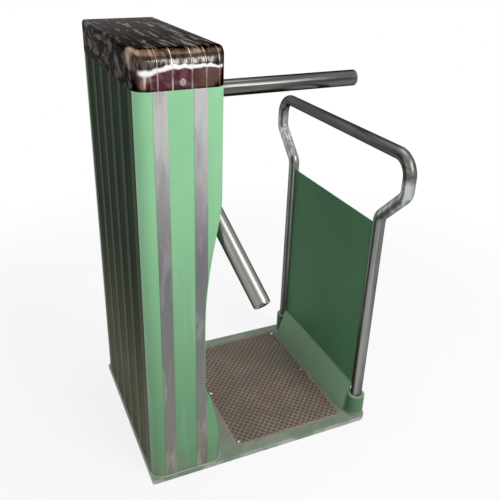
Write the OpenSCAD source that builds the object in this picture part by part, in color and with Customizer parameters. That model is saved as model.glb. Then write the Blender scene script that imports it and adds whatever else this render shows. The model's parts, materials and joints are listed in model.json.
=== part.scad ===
// Waist-high tripod turnstile on a tread platform, with a guard rail on the far side of the passage.
// Millimetres. X runs across the passage from the cabinet to the rail, Y along the walking direction.
// The origin is the middle of the four floor anchors, at floor level.

/* [Platform] */
// Width of the platform across the passage
base_w = 660; // [655:1:680]
// Depth of the platform along the walking direction
base_d = 518; // [516:1:530]
// Thickness of the platform frame
base_t = 12; // [11:0.5:14]
// Edge of the platform left round the cabinet
base_margin = 4; // [3:0.5:6]
// Plain strip of the platform between the cabinet and the tread plate
tread_start = 55; // [48:1:63]
// Distance of the tread plate from the front and rear edges
tread_margin = 33; // [29:1:39]
// Thickness of the tread plate
tread_t = 3; // [2.5:0.5:3.5]
// Distance of the left anchors from the cabinet's outer face
anchor_x = 80; // [79:1:81]
// Distance of the right anchors from the platform's far edge
anchor_inset = 28; // [26:1:30]
// Distance between the anchors along the walking direction
anchor_dy = 340; // [320:1:350]
// Diameter of the anchor holes
anchor_hole_d = 14; // [12:1:16]

/* [Guard rail] */
// Outer diameter of the rail tube
rail_d = 32; // [30:0.5:33.7]
// Wall of the rail tube
rail_wall = 2; // [1.5:0.5:3]
// Distance of the rail from the platform's far edge
rail_inset = 26; // [25:1:28]
// Distance of the legs from the platform's front and rear edges
leg_inset = 32; // [30:1:36]
// How far the upper uprights stand outside the legs
upper_spread = 89; // [80:1:98]
// Height of the top rail's centre line
rail_z = 836; // [820:1:850]
// Straight length of the upper uprights
upper_h = 28.8; // [20:0.2:40]
// Centre line radius of the leg bends
leg_bend_r = 34; // [30:1:40]
// Centre line radius of the top bends
top_bend_r = 50; // [45:1:55]
// Outer diameter of the leg sockets
socket_d = 50; // [48:1:51]
// Height of the leg sockets
socket_h = 68; // [58:1:78]
// Bottom of the infill panel
panel_z = 101; // [100:1:105]
// Distance of the infill panel's top below the leg bends
panel_drop = 12; // [10:1:25]
// Thickness of the infill panel
panel_t = 2; // [2:0.5:3]

/* [Cabinet] */
// Width of the cabinet's head and foot
cab_w = 192; // [191:0.5:193]
// Radius of the front upright corners
corner_r = 30; // [28:1:31]
// Radius of the rear upright corners
rear_corner_r = 12; // [10:1:14]
// Thickness of the sheet
sheet_t = 2; // [1.5:0.25:2]
// Height of the cabinet's upper edge above the level arm
head_rise = 65; // [64:1:68]
// Height of the cap
cap_h = 77; // [72:1:87]
// Radius of the cap's front top edge
cap_r = 38; // [34:1:42]
// Radius of the cap's long and rear top edges
cap_edge_r = 8; // [7:1:12]
// How far the waist is drawn in from the passage side
waist_cut = 49; // [47:0.5:49.5]
// Top of the straight part of the waist
waist_top_z = 440; // [430:1:450]
// Drop from the level arm to where the head has its full width
head_drop = 178; // [168:1:183]
// Height at which the waist starts above the foot
shoulder_z = 238; // [230:1:245]
// Height below which the foot has its full width
foot_z = 72; // [65:1:80]

/* [Trim strips] */
// Width of a trim strip
strip_w = 30; // [28:1:32]
// Thickness of a trim strip
strip_t = 1; // [0.8:0.1:1.2]
// Distance from one strip to the next
strip_pitch = 85; // [84:0.5:86]
// Distance from a corner of the cabinet to the first strip
strip_x = 34; // [33:1:35]
// Number of strips on the outer side
side_strips = 6; // [4:1:6]

/* [Tripod] */
// Distance of the arms' meeting point from the passage side
hub_inset = 82; // [81.5:0.5:82.5]
// Height of the level arm
hub_z = 958; // [957.5:0.5:958.5]
// Length of an arm from the meeting point to its tip
arm_l = 558; // [540:1:558]
// Outer diameter of an arm
arm_d = 42; // [40:0.5:42]
// Wall of the arm tube
arm_wall = 2.5; // [2:0.5:3]
// Gap between the swinging arms and the scooped side
arm_gap = 3; // [3:0.5:5]
// Diameter of the rotor shaft
shaft_d = 30; // [28:1:30]

/* [Mechanism] */
// Outer diameter of the ball bearings
bearing_od = 62; // [60:1:62]
// Width of the ball bearings
bearing_w = 16; // [14:1:16]
// Module of the damper gears
gear_m = 1.5; // [1.48:0.01:1.5]
// Teeth on the shaft gear
gear_teeth = 60; // [60:1:60]
// Teeth on the damper pinion
pinion_teeth = 15; // [15:1:15]
// Travel of a locking pin
lock_travel = 8; // [6:0.5:8]
// Radial clearance of running fits
run_clear = 0.04; // [0.02:0.01:0.08]

/* [Hidden] */
$fn = 96;

// Overlap of joined pieces, overrun of cuts and gap between neighbouring sheets
eps = 0.01;
over = 1;
seam = 0.5;
anchor_dx = base_w - base_margin - anchor_x - anchor_inset;
// Outer face of the cabinet in the part's own frame
x0 = -anchor_x - anchor_dx / 2;
// Left end of the platform, just outside the cabinet
base_x = x0 - base_margin;
cab_d = base_d - 2 * base_margin;
half_d = cab_d / 2;
tread_x = cab_w + tread_start;
tread_d = base_d - 2 * tread_margin;
rail_x = base_w - base_margin - rail_inset;
rail_r = rail_d / 2;
leg_y = base_d / 2 - leg_inset;
upper_y = leg_y + upper_spread;
// The leg's outward bend and the bend back take up the rest of the rail's height
bend_out = leg_bend_r * (1 - cos(45));
bend_up = leg_bend_r * sin(45);
slope_up = upper_spread - 2 * bend_out;
leg_bend_z = rail_z - top_bend_r - upper_h - 2 * bend_up - slope_up;
panel_top_z = leg_bend_z - panel_drop;
bar_lap = 0.5;
bend_extra = 0.15;
arm_r = arm_d / 2;
shaft_r = shaft_d / 2;
hub_x = cab_w - hub_inset;
waist_x = cab_w - waist_cut;
head_z = hub_z - head_drop;
cap_z = hub_z + head_rise;
top_z = cap_z + cap_h;

// Platform details
tread_gap = 0.5;
tread_drop = 1;
base_corner_r = 28;
small_corner_r = 6;
plain_screw_r = 2.5;
screw_tip_z = 2;
tread_screw_inset = 12;
tread_head_r = 4.5;
tread_head_t = 1;
frame_bolt_r = 5;
frame_bolt_y = 120;
frame_bolt_head_r = 8.5;
frame_bolt_head_t = 6;
cable_r = 8;
gland_flange_r = 15;
gland_flange_t = 5;
gland_r = 12;
gland_h = 20;

// Kick plate between the tread and the infill panel
kick_t = 3;
kick_x = rail_x - 32;
kick_top_x = rail_x - 9;
kick_flange = 18;
kick_web = 2;
kick_end_gap = 2;
kick_screw_x = kick_x + 13;
kick_screw_y = 150;
kick_screw_head_r = 4.5;
kick_screw_head_t = 2.5;
tread_end_gap = 10;
tread_w = kick_x - tread_end_gap - tread_x;

// Leg sockets and the screws that clamp the legs
socket_rim = 2;
clamp_r = 4;
clamp_inset = 1;

// Tabs and rivets that hold the infill panel to the legs
tab_w = 24;
tab_h = 44;
tab_t = 3;
tab_inset_z = 50;
rivet_r = 2.5;
rivet_head_r = 4.5;
rivet_head_t = 1.5;
rivet_dz = 12;

// Cabinet frame
lip_h = 14;
lip_gap = 0.3;
lip_lap = 4;
lip_join = 1;
post_w = 20;
post_x = [30, waist_x - post_w - 15];
post_d = 28;
post_wall = 2;
post_drop = 3;
post_top_z = cap_z - lip_h - post_drop;
foot_ring_t = 6;
ring_top_z = base_t + foot_ring_t;
post_y = half_d - sheet_t - post_d;
bar_h = 20;
bar_drop = [128, 53];
notch_gap = 1;

// Screws of the covers and the panels: the lowest and the highest, and how many
cover_screw_x = [post_x[0] + 14, post_x[1] + 15];
cover_screw_low = 108;
cover_screw_high = 83;
cover_screw_count = 4;
cover_screw_l = 8;
panel_screw_x = [post_x[0] + post_w / 2, post_x[1] + post_w / 2];
panel_screw_low = 138;
panel_screw_high = 133;
panel_screw_count = 3;
panel_screw_lap = 3;
panel_head_r = 4;
panel_head_t = 3;

// Steps of the cabinet's outline above the foot, each as what is left of the cut and the rise
shoulder_steps = [[14, 0], [4, 14], [0, 26]];
curve_steps = 14;
bead_w = 2;
bead_h = 3;
trim_edge = 2;

// Clearance cone of the arms, seen from the meeting point along the rotor axis
cone_clear = arm_r + arm_gap;
scoop_floor = 12;
tip_gap = 8;
scoop_r = (arm_l + tip_gap + cone_clear) * sin(45);
hub_r = 70;
hub_gap = 14;
recess_r = hub_r + hub_gap;
recess_h = 60;
shaft_hole_r = 36;
far = 900;

// Rotor stack, as heights along the rotor axis from the meeting point
plate_h0 = 4;
plate_h1 = scoop_floor - sheet_t;
hub_h0 = 14;
hub_len = 74;
hub_h1 = hub_h0 + hub_len;
hub_edge = 4;
hub_rim = 14;
hub_shares = [[0.914, 0.405], [0.686, 0.784], [0.486, 0.973], [0.429, 1]];
nut_r = 17;
nut_h = 10;
stud_r = 10;
stud_h = 12;
hub_cap_r = 29;
hub_cap_h = 19;
hub_cap_shares = [[0.828, 0], [1, 0], [0.966, 0.421], [0.759, 0.789], [0.414, 0.947], [0, 1],
    [0, 0.868], [0.379, 0.816], [0.69, 0.684], [0.828, 0.368]];
housing_back = -48;
housing_r = bearing_od / 2 + 5;
housing_flange_r = 52;
housing_flange_t = 10;
housing_bolt_circle = 45;
housing_bolt_r = 4;
housing_head_r = 7;
housing_head_t = 5;
spigot_r = 34;
housing_bore_r = shaft_r + 8;
bearing_r = bearing_od / 2;
front_bearing_h = -8;
rear_bearing_h = housing_back + 2;
groove_t = 1.5;
bearing_ring = 4;
collar_gap = 0.3;
shaft_collar = 4;
disc_h = -58;
disc_t = 7;
disc_r = 36;
notch_w = 9;
notch_slack = 1;
notch_depth = lock_travel + notch_slack;
notch_count = 12;
gear_h = -68;
gear_t = 7;
cam_h = -80;
cam_t = 9;
cam_r = 34;
cam_lift = 4;
cam_step = 5;
shaft_back = -84;
mount_h = -37;
mount_t = 4;
mount_ring = 16;
mount_inset = 2;
wing_start = housing_r + 5;

// Slanted plate that carries the rotor, its cheeks and ears, and its bolts
bracket_y = 116;
bracket_t = 4;
plate_back = 88;
plate_front = 78;
cheek_foot = 53;
cheek_rise = 59;
ear_w = 34;
bracket_bolt_y = bracket_y + 18;
bracket_bolt_l = 11;
bracket_head_r = 5;
bracket_head_t = 4;

// Arms, the collars that hold them, their plugs and screws
collar_r = arm_r + 5.5;
collar_s = [47, 90];
arm_s = 52;
arm_screw_s = 70;
arm_screw_r = 4;
arm_screw_l = 17;
plug_t = 3;
plug_dome = 6;
plug_spigot = 24;

// Locking pins and their solenoids
pin_r = 4;
pin_gap = 2;
pin_tip = disc_r + pin_gap;
pin_head_r = 8;
pin_head_t = 3;
solenoid_r = [60, 108];
solenoid_w = 32;
solenoid_lip = 4;
pin_back = solenoid_r[1] + lock_travel + notch_slack;

// Damper and its gears
pinion_x = gear_m * (gear_teeth + pinion_teeth) / 2;
backlash = 0.12;
pinion_r = 4;
pinion_tip = 2;
pinion_stub = 8;
damper_r = 18;
damper_bore = 11;

// Index lever, roller, post and spring
roller_r = 10;
roller_pin_r = 4;
roller_gap = 0.6;
roller_angle = 60;
roller_at = cam_r + cam_lift + roller_r + roller_gap;
lever_pivot = [-2, 82];
lever_h = -86;
lever_t = 5;
lever_r = 7;
lever_boss_r = 10;
post_r = 5;
post_head = 3;
post_tip = 2;
spring_gap = 0.4;
spring_r = [5.5, 8];

// Cap lock
lock_rise = 15;
lock_r = 5.5;
lock_l = 16;
lock_head_r = 7;
lock_head_t = 1.6;
lock_slot = [1.4, 6, 1];
cam_plate_t = 3;
cam_hub_r = 7;
cam_arm = [9, 26];
cam_hole_r = 2;
strike_t = 3;
strike_y = 8;
strike_d = 12;
strike_x = [6, 12, 32];
strike_rise = 25;

// Boxes fixed to the outer side sheet, as depth, width and height, with their places
control_size = [48, 140, 200];
control_at = [-160, waist_top_z + 80];
control_r = 5;
supply_size = [54, 100, 140];
supply_at = [20, waist_top_z + 60];

// Turns to the rotor's own frame: Z runs out along the axis, 45 degrees below level
module on_rotor() {
    translate([x0 + hub_x, 0, hub_z])
        rotate([0, 135, 0])
            children();
}

// Turns to an arm's own frame: Z runs along the arm from the meeting point
module on_arm(i) {
    on_rotor()
        rotate([0, 0, 180 + 120 * i])
            rotate([0, 45, 0])
                children();
}

module ring(r_out, r_in, h) {
    difference() {
        cylinder(r = r_out, h = h);
        translate([0, 0, -eps])
            cylinder(r = r_in, h = h + 2 * eps);
    }
}

// A round cut right through a plate of the given thickness
module through(r, t) {
    translate([0, 0, -over])
        cylinder(r = r, h = t + 2 * over);
}

module box(low, high) {
    translate(low)
        cube(high - low);
}

// A block with rounded upright corners
module rounded_block(low, high, r) {
    union() {
        box([low[0] + r, low[1], low[2]], [high[0] - r, high[1], high[2]]);
        box([low[0], low[1] + r, low[2]], [high[0], high[1] - r, high[2]]);
        for (x = [low[0] + r, high[0] - r], y = [low[1] + r, high[1] - r])
            translate([x, y, low[2]])
                cylinder(r = r, h = high[2] - low[2]);
    }
}

// Platform frame with the tread pocket, the anchor holes and the holes of the frame bolts
module base_frame() {
    left = base_x;
    right = base_x + base_w;
    color([0.45, 0.6, 0.5])
        difference() {
            union() {
                rounded_block([left, -base_d / 2, 0], [right - base_corner_r, base_d / 2, base_t],
                    small_corner_r);
                rounded_block([left + cab_w, -base_d / 2, 0], [right, base_d / 2, base_t],
                    base_corner_r);
            }
            box([x0 + tread_x - tread_gap, -tread_d / 2 - tread_gap, base_t - tread_t - tread_drop],
                [x0 + tread_x + tread_w + tread_gap, tread_d / 2 + tread_gap, base_t + over]);
            for (x = [-1, 1], y = [-1, 1])
                translate([x * anchor_dx / 2, y * anchor_dy / 2, 0])
                    through(anchor_hole_d / 2, base_t);
            frame_bolt_places()
                through(frame_bolt_r, base_t);
            translate([x0 + anchor_x, 0, 0])
                through(cable_r, base_t);
            tread_screw_places()
                through(plain_screw_r, base_t);
            kick_screw_places()
                through(plain_screw_r, base_t);
        }
}

module frame_bolt_places() {
    for (x = post_x, y = [-1, 1])
        translate([x0 + x + post_w / 2, y * frame_bolt_y, 0])
            children();
}

module tread_screw_places() {
    for (x = [tread_screw_inset, tread_w - tread_screw_inset], y = [-1, 0, 1])
        translate([x0 + tread_x + x, y * (tread_d / 2 - tread_screw_inset), 0])
            children();
}

module tread_plate() {
    color([0.45, 0.4, 0.37])
        difference() {
            box([x0 + tread_x, -tread_d / 2, base_t - tread_t - tread_drop],
                [x0 + tread_x + tread_w, tread_d / 2, base_t - tread_drop]);
            tread_screw_places()
                through(plain_screw_r, base_t);
        }
}

module tread_screws() {
    color([0.6, 0.6, 0.6])
        tread_screw_places()
            union() {
                translate([0, 0, screw_tip_z])
                    cylinder(r = plain_screw_r, h = base_t - tread_drop + tread_head_t - screw_tip_z);
                translate([0, 0, base_t - tread_drop])
                    cylinder(r = tread_head_r, h = tread_head_t);
            }
}

module kick_screw_places() {
    for (y = [-1, 1])
        translate([x0 + kick_screw_x, y * kick_screw_y, 0])
            children();
}

// Sloping kerb sheet from leg to leg, notched round the sockets, with a foot flange and a top return
module kick_plate() {
    half = leg_y - rail_r - kick_end_gap;
    web_z = panel_z - kick_t;
    panel_face = rail_x - panel_t / 2;
    color([0.42, 0.55, 0.46])
        difference() {
            translate([x0, 0, 0])
                rotate([90, 0, 0])
                    linear_extrude(height = 2 * half, center = true)
                        polygon([
                            [kick_x, base_t],
                            [kick_x + kick_flange, base_t],
                            [kick_x + kick_flange, base_t + kick_t],
                            [kick_x + kick_t + kick_web, base_t + kick_t],
                            [kick_top_x + kick_t, web_z],
                            [panel_face + panel_t, web_z],
                            [panel_face + panel_t, panel_z],
                            [kick_top_x, panel_z],
                            [kick_x, base_t + kick_t],
                        ]);
            kick_screw_places()
                through(plain_screw_r, base_t + kick_t);
            for (side = [-1, 1])
                translate([x0 + rail_x, side * leg_y, 0])
                    cylinder(r = socket_d / 2 + kick_end_gap, h = base_t + socket_h + kick_end_gap);
        }
}

module kick_screws() {
    color([0.6, 0.6, 0.6])
        kick_screw_places()
            union() {
                translate([0, 0, screw_tip_z])
                    cylinder(r = plain_screw_r, h = base_t + kick_t + kick_screw_head_t - screw_tip_z);
                translate([0, 0, base_t + kick_t])
                    cylinder(r = kick_screw_head_r, h = kick_screw_head_t);
            }
}

// One leg socket, standing on the platform, with its clamp screw's hole
module socket(side) {
    color([0.37, 0.56, 0.42])
        translate([x0 + rail_x, side * leg_y, base_t])
            difference() {
                union() {
                    ring(socket_d / 2, rail_r, socket_h - socket_rim);
                    ring(socket_d / 2 - socket_rim, rail_r, socket_h);
                }
                translate([0, 0, socket_h / 2])
                    rotate([0, 90, 0])
                        cylinder(r = clamp_r, h = socket_d);
            }
}

module front_socket() {
    socket(-1);
}

module rear_socket() {
    socket(1);
}

module socket_screws() {
    color([0.6, 0.6, 0.6])
        for (side = [-1, 1])
            translate([x0 + rail_x + rail_r, side * leg_y, base_t + socket_h / 2])
                rotate([0, 90, 0])
                    cylinder(r = clamp_r, h = socket_d / 2 - rail_r - clamp_inset);
}

// A round bar's bend about Z, from one angle to another, a trace fuller than the straights
module bar_bend(bend_r, from, to, r) {
    rotate([0, 0, from])
        rotate_extrude(angle = to - from)
            translate([bend_r, 0])
                circle(r = r + bend_extra);
}

// A straight that laps into the bends at both ends
module bar(h, r) {
    translate([0, 0, -bar_lap])
        cylinder(r = r, h = h + 2 * bar_lap);
}

// One side of the bent rail: leg, outward slope, upper upright and top bend
module rail_side(r) {
    slope = slope_up / sin(45);
    upper_z = rail_z - top_bend_r - upper_h;
    union() {
        translate([0, leg_y, base_t])
            cylinder(r = r, h = leg_bend_z - base_t + bar_lap);
        translate([0, leg_y + leg_bend_r, leg_bend_z])
            rotate([90, 0, 90])
                bar_bend(leg_bend_r, 135, 180, r);
        translate([0, leg_y + bend_out, leg_bend_z + bend_up])
            rotate([-45, 0, 0])
                bar(slope, r);
        translate([0, upper_y - leg_bend_r, upper_z])
            rotate([90, 0, 90])
                bar_bend(leg_bend_r, -45, 0, r);
        translate([0, upper_y, upper_z])
            bar(upper_h, r);
        translate([0, upper_y - top_bend_r, rail_z - top_bend_r])
            rotate([90, 0, 90])
                bar_bend(top_bend_r, 0, 90, r);
    }
}

module rail_bar(r) {
    union() {
        rail_side(r);
        mirror([0, 1, 0])
            rail_side(r);
        translate([0, -upper_y + top_bend_r, rail_z])
            rotate([-90, 0, 0])
                bar(2 * (upper_y - top_bend_r), r);
    }
}

module guard_rail() {
    color([0.5, 0.5, 0.5])
        translate([x0 + rail_x, 0, 0])
            difference() {
                rail_bar(rail_r);
                rail_bar(rail_r - rail_wall);
            }
}

module rivet_places() {
    for (side = [-1, 1], z = [panel_z + tab_inset_z, panel_top_z - tab_inset_z], dz = [-1, 1])
        translate([x0 + rail_x, side * (leg_y - rail_r - tab_w / 2), z + dz * rivet_dz])
            rotate([0, 90, 0])
                children();
}

module rail_panel() {
    color([0.24, 0.38, 0.26])
        difference() {
            box([x0 + rail_x - panel_t / 2, -leg_y + rail_r, panel_z],
                [x0 + rail_x + panel_t / 2, leg_y - rail_r, panel_top_z]);
            rivet_places()
                cylinder(r = rivet_r, h = 4 * panel_t, center = true);
        }
}

module panel_tabs() {
    outer = leg_y - rail_r;
    color([0.24, 0.38, 0.26])
        difference() {
            for (side = [-1, 1], z = [panel_z + tab_inset_z, panel_top_z - tab_inset_z])
                translate([x0 + rail_x + panel_t / 2, side * (outer - tab_w / 2) - tab_w / 2,
                    z - tab_h / 2])
                    cube([tab_t, tab_w, tab_h]);
            rivet_places()
                cylinder(r = rivet_r, h = 4 * (panel_t + tab_t), center = true);
        }
}

module panel_rivets() {
    color([0.6, 0.6, 0.6])
        rivet_places()
            translate([0, 0, -panel_t / 2])
                union() {
                    translate([0, 0, -rivet_head_t])
                        cylinder(r = rivet_head_r, h = rivet_head_t);
                    translate([0, 0, -rivet_head_t])
                        cylinder(r = rivet_r, h = panel_t + tab_t + 2 * rivet_head_t);
                    translate([0, 0, panel_t + tab_t])
                        cylinder(r = rivet_head_r, h = rivet_head_t);
                }
}

// Outline of the cabinet seen from the front, drawn in by the sheet's thickness where asked
function profile(inset, z_low, z_high) = concat(
    [
        [inset, z_low],
        [cab_w - inset, z_low],
        [cab_w - inset, foot_z],
    ],
    [
        for (s = shoulder_steps)
            [waist_x + s[0] - inset, shoulder_z + s[1]]
    ],
    [
        for (i = [0:curve_steps])
            let (t = i / curve_steps)
            [waist_x + waist_cut * t * t - inset, waist_top_z + (head_z - waist_top_z) * t]
    ],
    [
        [cab_w - inset, z_high],
        [inset, z_high],
    ]
);

// Space that the swinging arms and the hub need, cut from the passage side
module scoop(inset) {
    shift = (cone_clear + inset) * sqrt(2);
    end_r = scoop_r + inset;
    floor_h = scoop_floor - inset;
    on_rotor()
        union() {
            translate([0, 0, floor_h])
                cylinder(r1 = floor_h + shift, r2 = end_r, h = end_r - shift - floor_h);
            translate([0, 0, end_r - shift - eps])
                cylinder(r = end_r, h = far - end_r);
            translate([0, 0, floor_h])
                cylinder(r = recess_r + inset, h = recess_h);
        }
}

// Block with the cabinet's plan drawn in by the inset, its rear corners tighter than its front ones
module cabinet_block(inset, z_low, z_high) {
    low = [x0 + inset, -half_d + inset, z_low];
    high = [x0 + cab_w - inset, half_d - inset, z_high];
    union() {
        rounded_block(low, [high[0], corner_r, z_high], corner_r - inset);
        rounded_block([low[0], -corner_r, z_low], high, rear_corner_r - inset);
    }
}

// The cabinet's volume, drawn in by the sheet's thickness where asked
module cabinet_volume(inset, z_low, z_high) {
    difference() {
        intersection() {
            cabinet_block(inset, z_low, z_high);
            translate([x0, 0, 0])
                rotate([90, 0, 0])
                    linear_extrude(height = 2 * cab_d, center = true)
                        polygon(profile(inset, z_low, z_high));
        }
        scoop(inset);
    }
}

module shell() {
    difference() {
        cabinet_volume(0, base_t, cap_z);
        cabinet_volume(sheet_t, base_t - over, cap_z + over);
    }
}

module cover_screw_places() {
    low = base_t + cover_screw_low;
    step = (cap_z - cover_screw_high - low) / (cover_screw_count - 1);
    for (side = [-1, 1], x = cover_screw_x, i = [0:cover_screw_count - 1])
        translate([x0 + x, side * half_d, low + i * step])
            rotate([90 * side, 0, 0])
                children();
}

// The shell's front or rear end, from its post outwards
module end_cover(side) {
    y_low = side > 0 ? post_y + seam : -half_d - over;
    y_high = side > 0 ? half_d + over : -post_y - seam;
    color([0.5, 0.75, 0.55])
        difference() {
            intersection() {
                shell();
                box([x0 - over, y_low, 0], [x0 + cab_w + over, y_high, top_z]);
            }
            cover_screw_places()
                cylinder(r = plain_screw_r, h = 2 * sheet_t);
        }
}

module front_cover() {
    end_cover(-1);
}

module rear_cover() {
    end_cover(1);
}

module cover_screws() {
    color([0.6, 0.6, 0.6])
        cover_screw_places()
            cylinder(r = plain_screw_r, h = cover_screw_l);
}

module panel_screw_places() {
    low = base_t + panel_screw_low;
    step = (cap_z - panel_screw_high - low) / (panel_screw_count - 1);
    for (side = [-1, 1], x = panel_screw_x, i = [0:panel_screw_count - 1])
        translate([x0 + x, side * post_y, low + i * step])
            rotate([90 * side, 0, 0])
                children();
}

// Outer side sheet with a return flange at each end
module side_panel() {
    color([0.2, 0.32, 0.22])
        difference() {
            union() {
                box([x0, -post_y, base_t], [x0 + sheet_t, post_y, cap_z]);
                for (side = [-1, 1])
                    box([x0, side * (post_y - sheet_t / 2) - sheet_t / 2, base_t],
                        [x0 + post_x[0] + post_w, side * (post_y - sheet_t / 2) + sheet_t / 2,
                            post_top_z]);
            }
            frame_bars(notch_gap);
            panel_screw_places()
                cylinder(r = plain_screw_r, h = 4 * sheet_t, center = true);
        }
}

// Scooped passage side with return flanges and the hole for the rotor shaft
module passage_panel() {
    color([0.45, 0.68, 0.5])
        difference() {
            union() {
                intersection() {
                    shell();
                    box([x0 + post_x[0], -post_y, 0], [x0 + cab_w + over, post_y, top_z]);
                }
                intersection() {
                    cabinet_volume(0, base_t, post_top_z);
                    for (side = [-1, 1])
                        box([x0 + post_x[1], side * (post_y - sheet_t / 2) - sheet_t / 2, base_t],
                            [x0 + cab_w, side * (post_y - sheet_t / 2) + sheet_t / 2, cap_z]);
                }
            }
            on_rotor()
                cylinder(r = shaft_hole_r, h = 2 * scoop_floor);
            frame_bars(notch_gap);
            panel_screw_places()
                cylinder(r = plain_screw_r, h = 4 * sheet_t, center = true);
        }
}

module panel_screws() {
    color([0.6, 0.6, 0.6])
        panel_screw_places()
            translate([0, 0, -post_wall - panel_screw_lap])
                union() {
                    cylinder(r = plain_screw_r, h = post_wall + panel_screw_lap + sheet_t + panel_head_t);
                    translate([0, 0, post_wall + panel_screw_lap + sheet_t])
                        cylinder(r = panel_head_r, h = panel_head_t);
                }
}

// A square tube post
module post(low, high) {
    wall = [post_wall, post_wall, 0];
    difference() {
        box(low, high);
        box(low + wall - [0, 0, over], high - wall + [0, 0, over]);
    }
}

// Level bars of the frame that cross the panels' flanges, or their notches where a gap is asked
module frame_bars(gap) {
    grow = [gap, 0, gap];
    for (x = post_x)
        box([x0 + x, -post_y, base_t] - grow, [x0 + x + post_w, post_y, ring_top_z] + grow);
    for (drop = bar_drop)
        box([x0 + post_x[0], -post_y, hub_z - drop] - grow,
            [x0 + post_x[0] + post_w, post_y, hub_z - drop + bar_h] + grow);
    for (side = [-1, 1]) {
        y = side * (bracket_y + bracket_t + post_y) / 2;
        half = (post_y - bracket_y - bracket_t) / 2;
        box([x0 + post_x[1], y - half, post_top_z - bar_h] - grow,
            [x0 + post_x[1] + post_w, y + half, post_top_z] + grow);
    }
}

// Welded frame inside the cabinet: foot ring, four posts and the rails that carry the mechanism
module cabinet_frame() {
    color([0.35, 0.36, 0.37])
        difference() {
            union() {
                frame_bars(0);
                for (side = [-1, 1]) {
                    y_low = side > 0 ? post_y : -post_y - post_d;
                    for (x = post_x)
                        post([x0 + x, y_low, ring_top_z],
                            [x0 + x + post_w, y_low + post_d, post_top_z]);
                    box([x0 + post_x[0], y_low, base_t],
                        [x0 + post_x[1] + post_w, y_low + post_d, ring_top_z]);
                    box([x0 + post_x[0] + post_w, y_low, post_top_z - bar_h],
                        [x0 + post_x[1], y_low + post_d, post_top_z]);
                }
            }
            frame_bolt_places()
                through(frame_bolt_r, ring_top_z);
            cover_screw_places()
                cylinder(r = plain_screw_r, h = cover_screw_l);
            panel_screw_places()
                translate([0, 0, -post_wall - over])
                    cylinder(r = plain_screw_r, h = post_wall + 2 * over);
            bracket_bolt_places()
                cylinder(r = plain_screw_r, h = bracket_bolt_l + over);
        }
}

module frame_bolts() {
    color([0.6, 0.6, 0.6])
        frame_bolt_places()
            union() {
                translate([0, 0, screw_tip_z])
                    cylinder(r = frame_bolt_r, h = ring_top_z + frame_bolt_head_t - screw_tip_z);
                translate([0, 0, ring_top_z])
                    cylinder(r = frame_bolt_head_r, h = frame_bolt_head_t, $fn = 6);
            }
}

// Bead of sealant round the cabinet's foot
module foot_seal() {
    color([0.7, 0.72, 0.66])
        difference() {
            cabinet_block(-bead_w, base_t, base_t + bead_h);
            cabinet_block(0, base_t - over, base_t + bead_h + over);
        }
}

// Trim strips on a cabinet end, cut to the outline of the face
module end_trim(side) {
    y_low = side > 0 ? half_d : -half_d - strip_t;
    color([0.62, 0.62, 0.63])
        intersection() {
            for (i = [0, 1])
                box([x0 + strip_x + i * strip_pitch, y_low, base_t + bead_h],
                    [x0 + strip_x + i * strip_pitch + strip_w, y_low + strip_t, cap_z]);
            translate([x0, 0, 0])
                rotate([90, 0, 0])
                    linear_extrude(height = 2 * cab_d, center = true)
                        polygon(profile(trim_edge, base_t, cap_z));
        }
}

module front_trim() {
    difference() {
        end_trim(-1);
        scoop(trim_edge);
    }
}

module rear_trim() {
    difference() {
        end_trim(1);
        scoop(trim_edge);
    }
}

module side_trim() {
    first = -(side_strips - 1) / 2 * strip_pitch - strip_w / 2;
    color([0.4, 0.4, 0.36])
        for (i = [0:side_strips - 1])
            box([x0 - strip_t, first + i * strip_pitch, base_t + bead_h],
                [x0, first + i * strip_pitch + strip_w, cap_z]);
}

// Outline of the cap in one upright plane, its two top corners rounded by the radii
module cap_outline(half, inset, radii) {
    w = half - inset;
    foot = cap_z - inset;
    top = top_z - inset;
    r = [for (radius = radii) radius - inset];
    union() {
        translate([-w + r[0], foot])
            square([2 * w - r[0] - r[1], top - foot]);
        translate([-w, foot])
            square([r[0], top - r[0] - foot]);
        translate([w - r[1], foot])
            square([r[1], top - r[1] - foot]);
        translate([-w + r[0], top - r[0]])
            circle(r = r[0]);
        translate([w - r[1], top - r[1]])
            circle(r = r[1]);
    }
}

module cap_volume(inset) {
    intersection() {
        cabinet_block(inset, cap_z - inset, top_z);
        rotate([90, 0, 90])
            linear_extrude(height = 4 * cab_d, center = true)
                cap_outline(half_d, inset, [cap_r, cap_edge_r]);
        translate([x0 + cab_w / 2, 0, 0])
            rotate([90, 0, 0])
                linear_extrude(height = 2 * cab_d, center = true)
                    cap_outline(cab_w / 2, inset, [cap_edge_r, cap_edge_r]);
    }
}

// Polished lift-off cap with a locating lip inside the cabinet
module cap_cover() {
    in = sheet_t + lip_gap;
    color([0.75, 0.73, 0.72])
        difference() {
            union() {
                difference() {
                    cap_volume(0);
                    cap_volume(sheet_t);
                }
                difference() {
                    union() {
                        cabinet_block(in, cap_z - lip_h, cap_z + lip_lap);
                        cabinet_block(lip_join, cap_z + lip_join, cap_z + lip_lap);
                    }
                    cabinet_block(in + sheet_t, cap_z - lip_h - over, cap_z + lip_lap + over);
                }
            }
            on_cap_lock()
                translate([0, 0, -over])
                    cylinder(r = lock_r + run_clear, h = lock_l);
        }
}

// The cap's lock sits low in the middle of the front; Z runs in from the cap's face
module on_cap_lock() {
    translate([x0 + cab_w / 2, -half_d, cap_z + lock_rise])
        rotate([-90, 0, 0])
            children();
}

module cap_lock_barrel() {
    color([0.7, 0.68, 0.6])
        on_cap_lock()
            difference() {
                union() {
                    translate([0, 0, -lock_head_t])
                        cylinder(r = lock_head_r, h = lock_head_t);
                    translate([0, 0, -lock_head_t])
                        cylinder(r = lock_r, h = lock_l);
                }
                translate([-lock_slot[0] / 2, -lock_slot[1] / 2, -lock_head_t - over])
                    cube(lock_slot + [0, 0, over]);
            }
}

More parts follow.
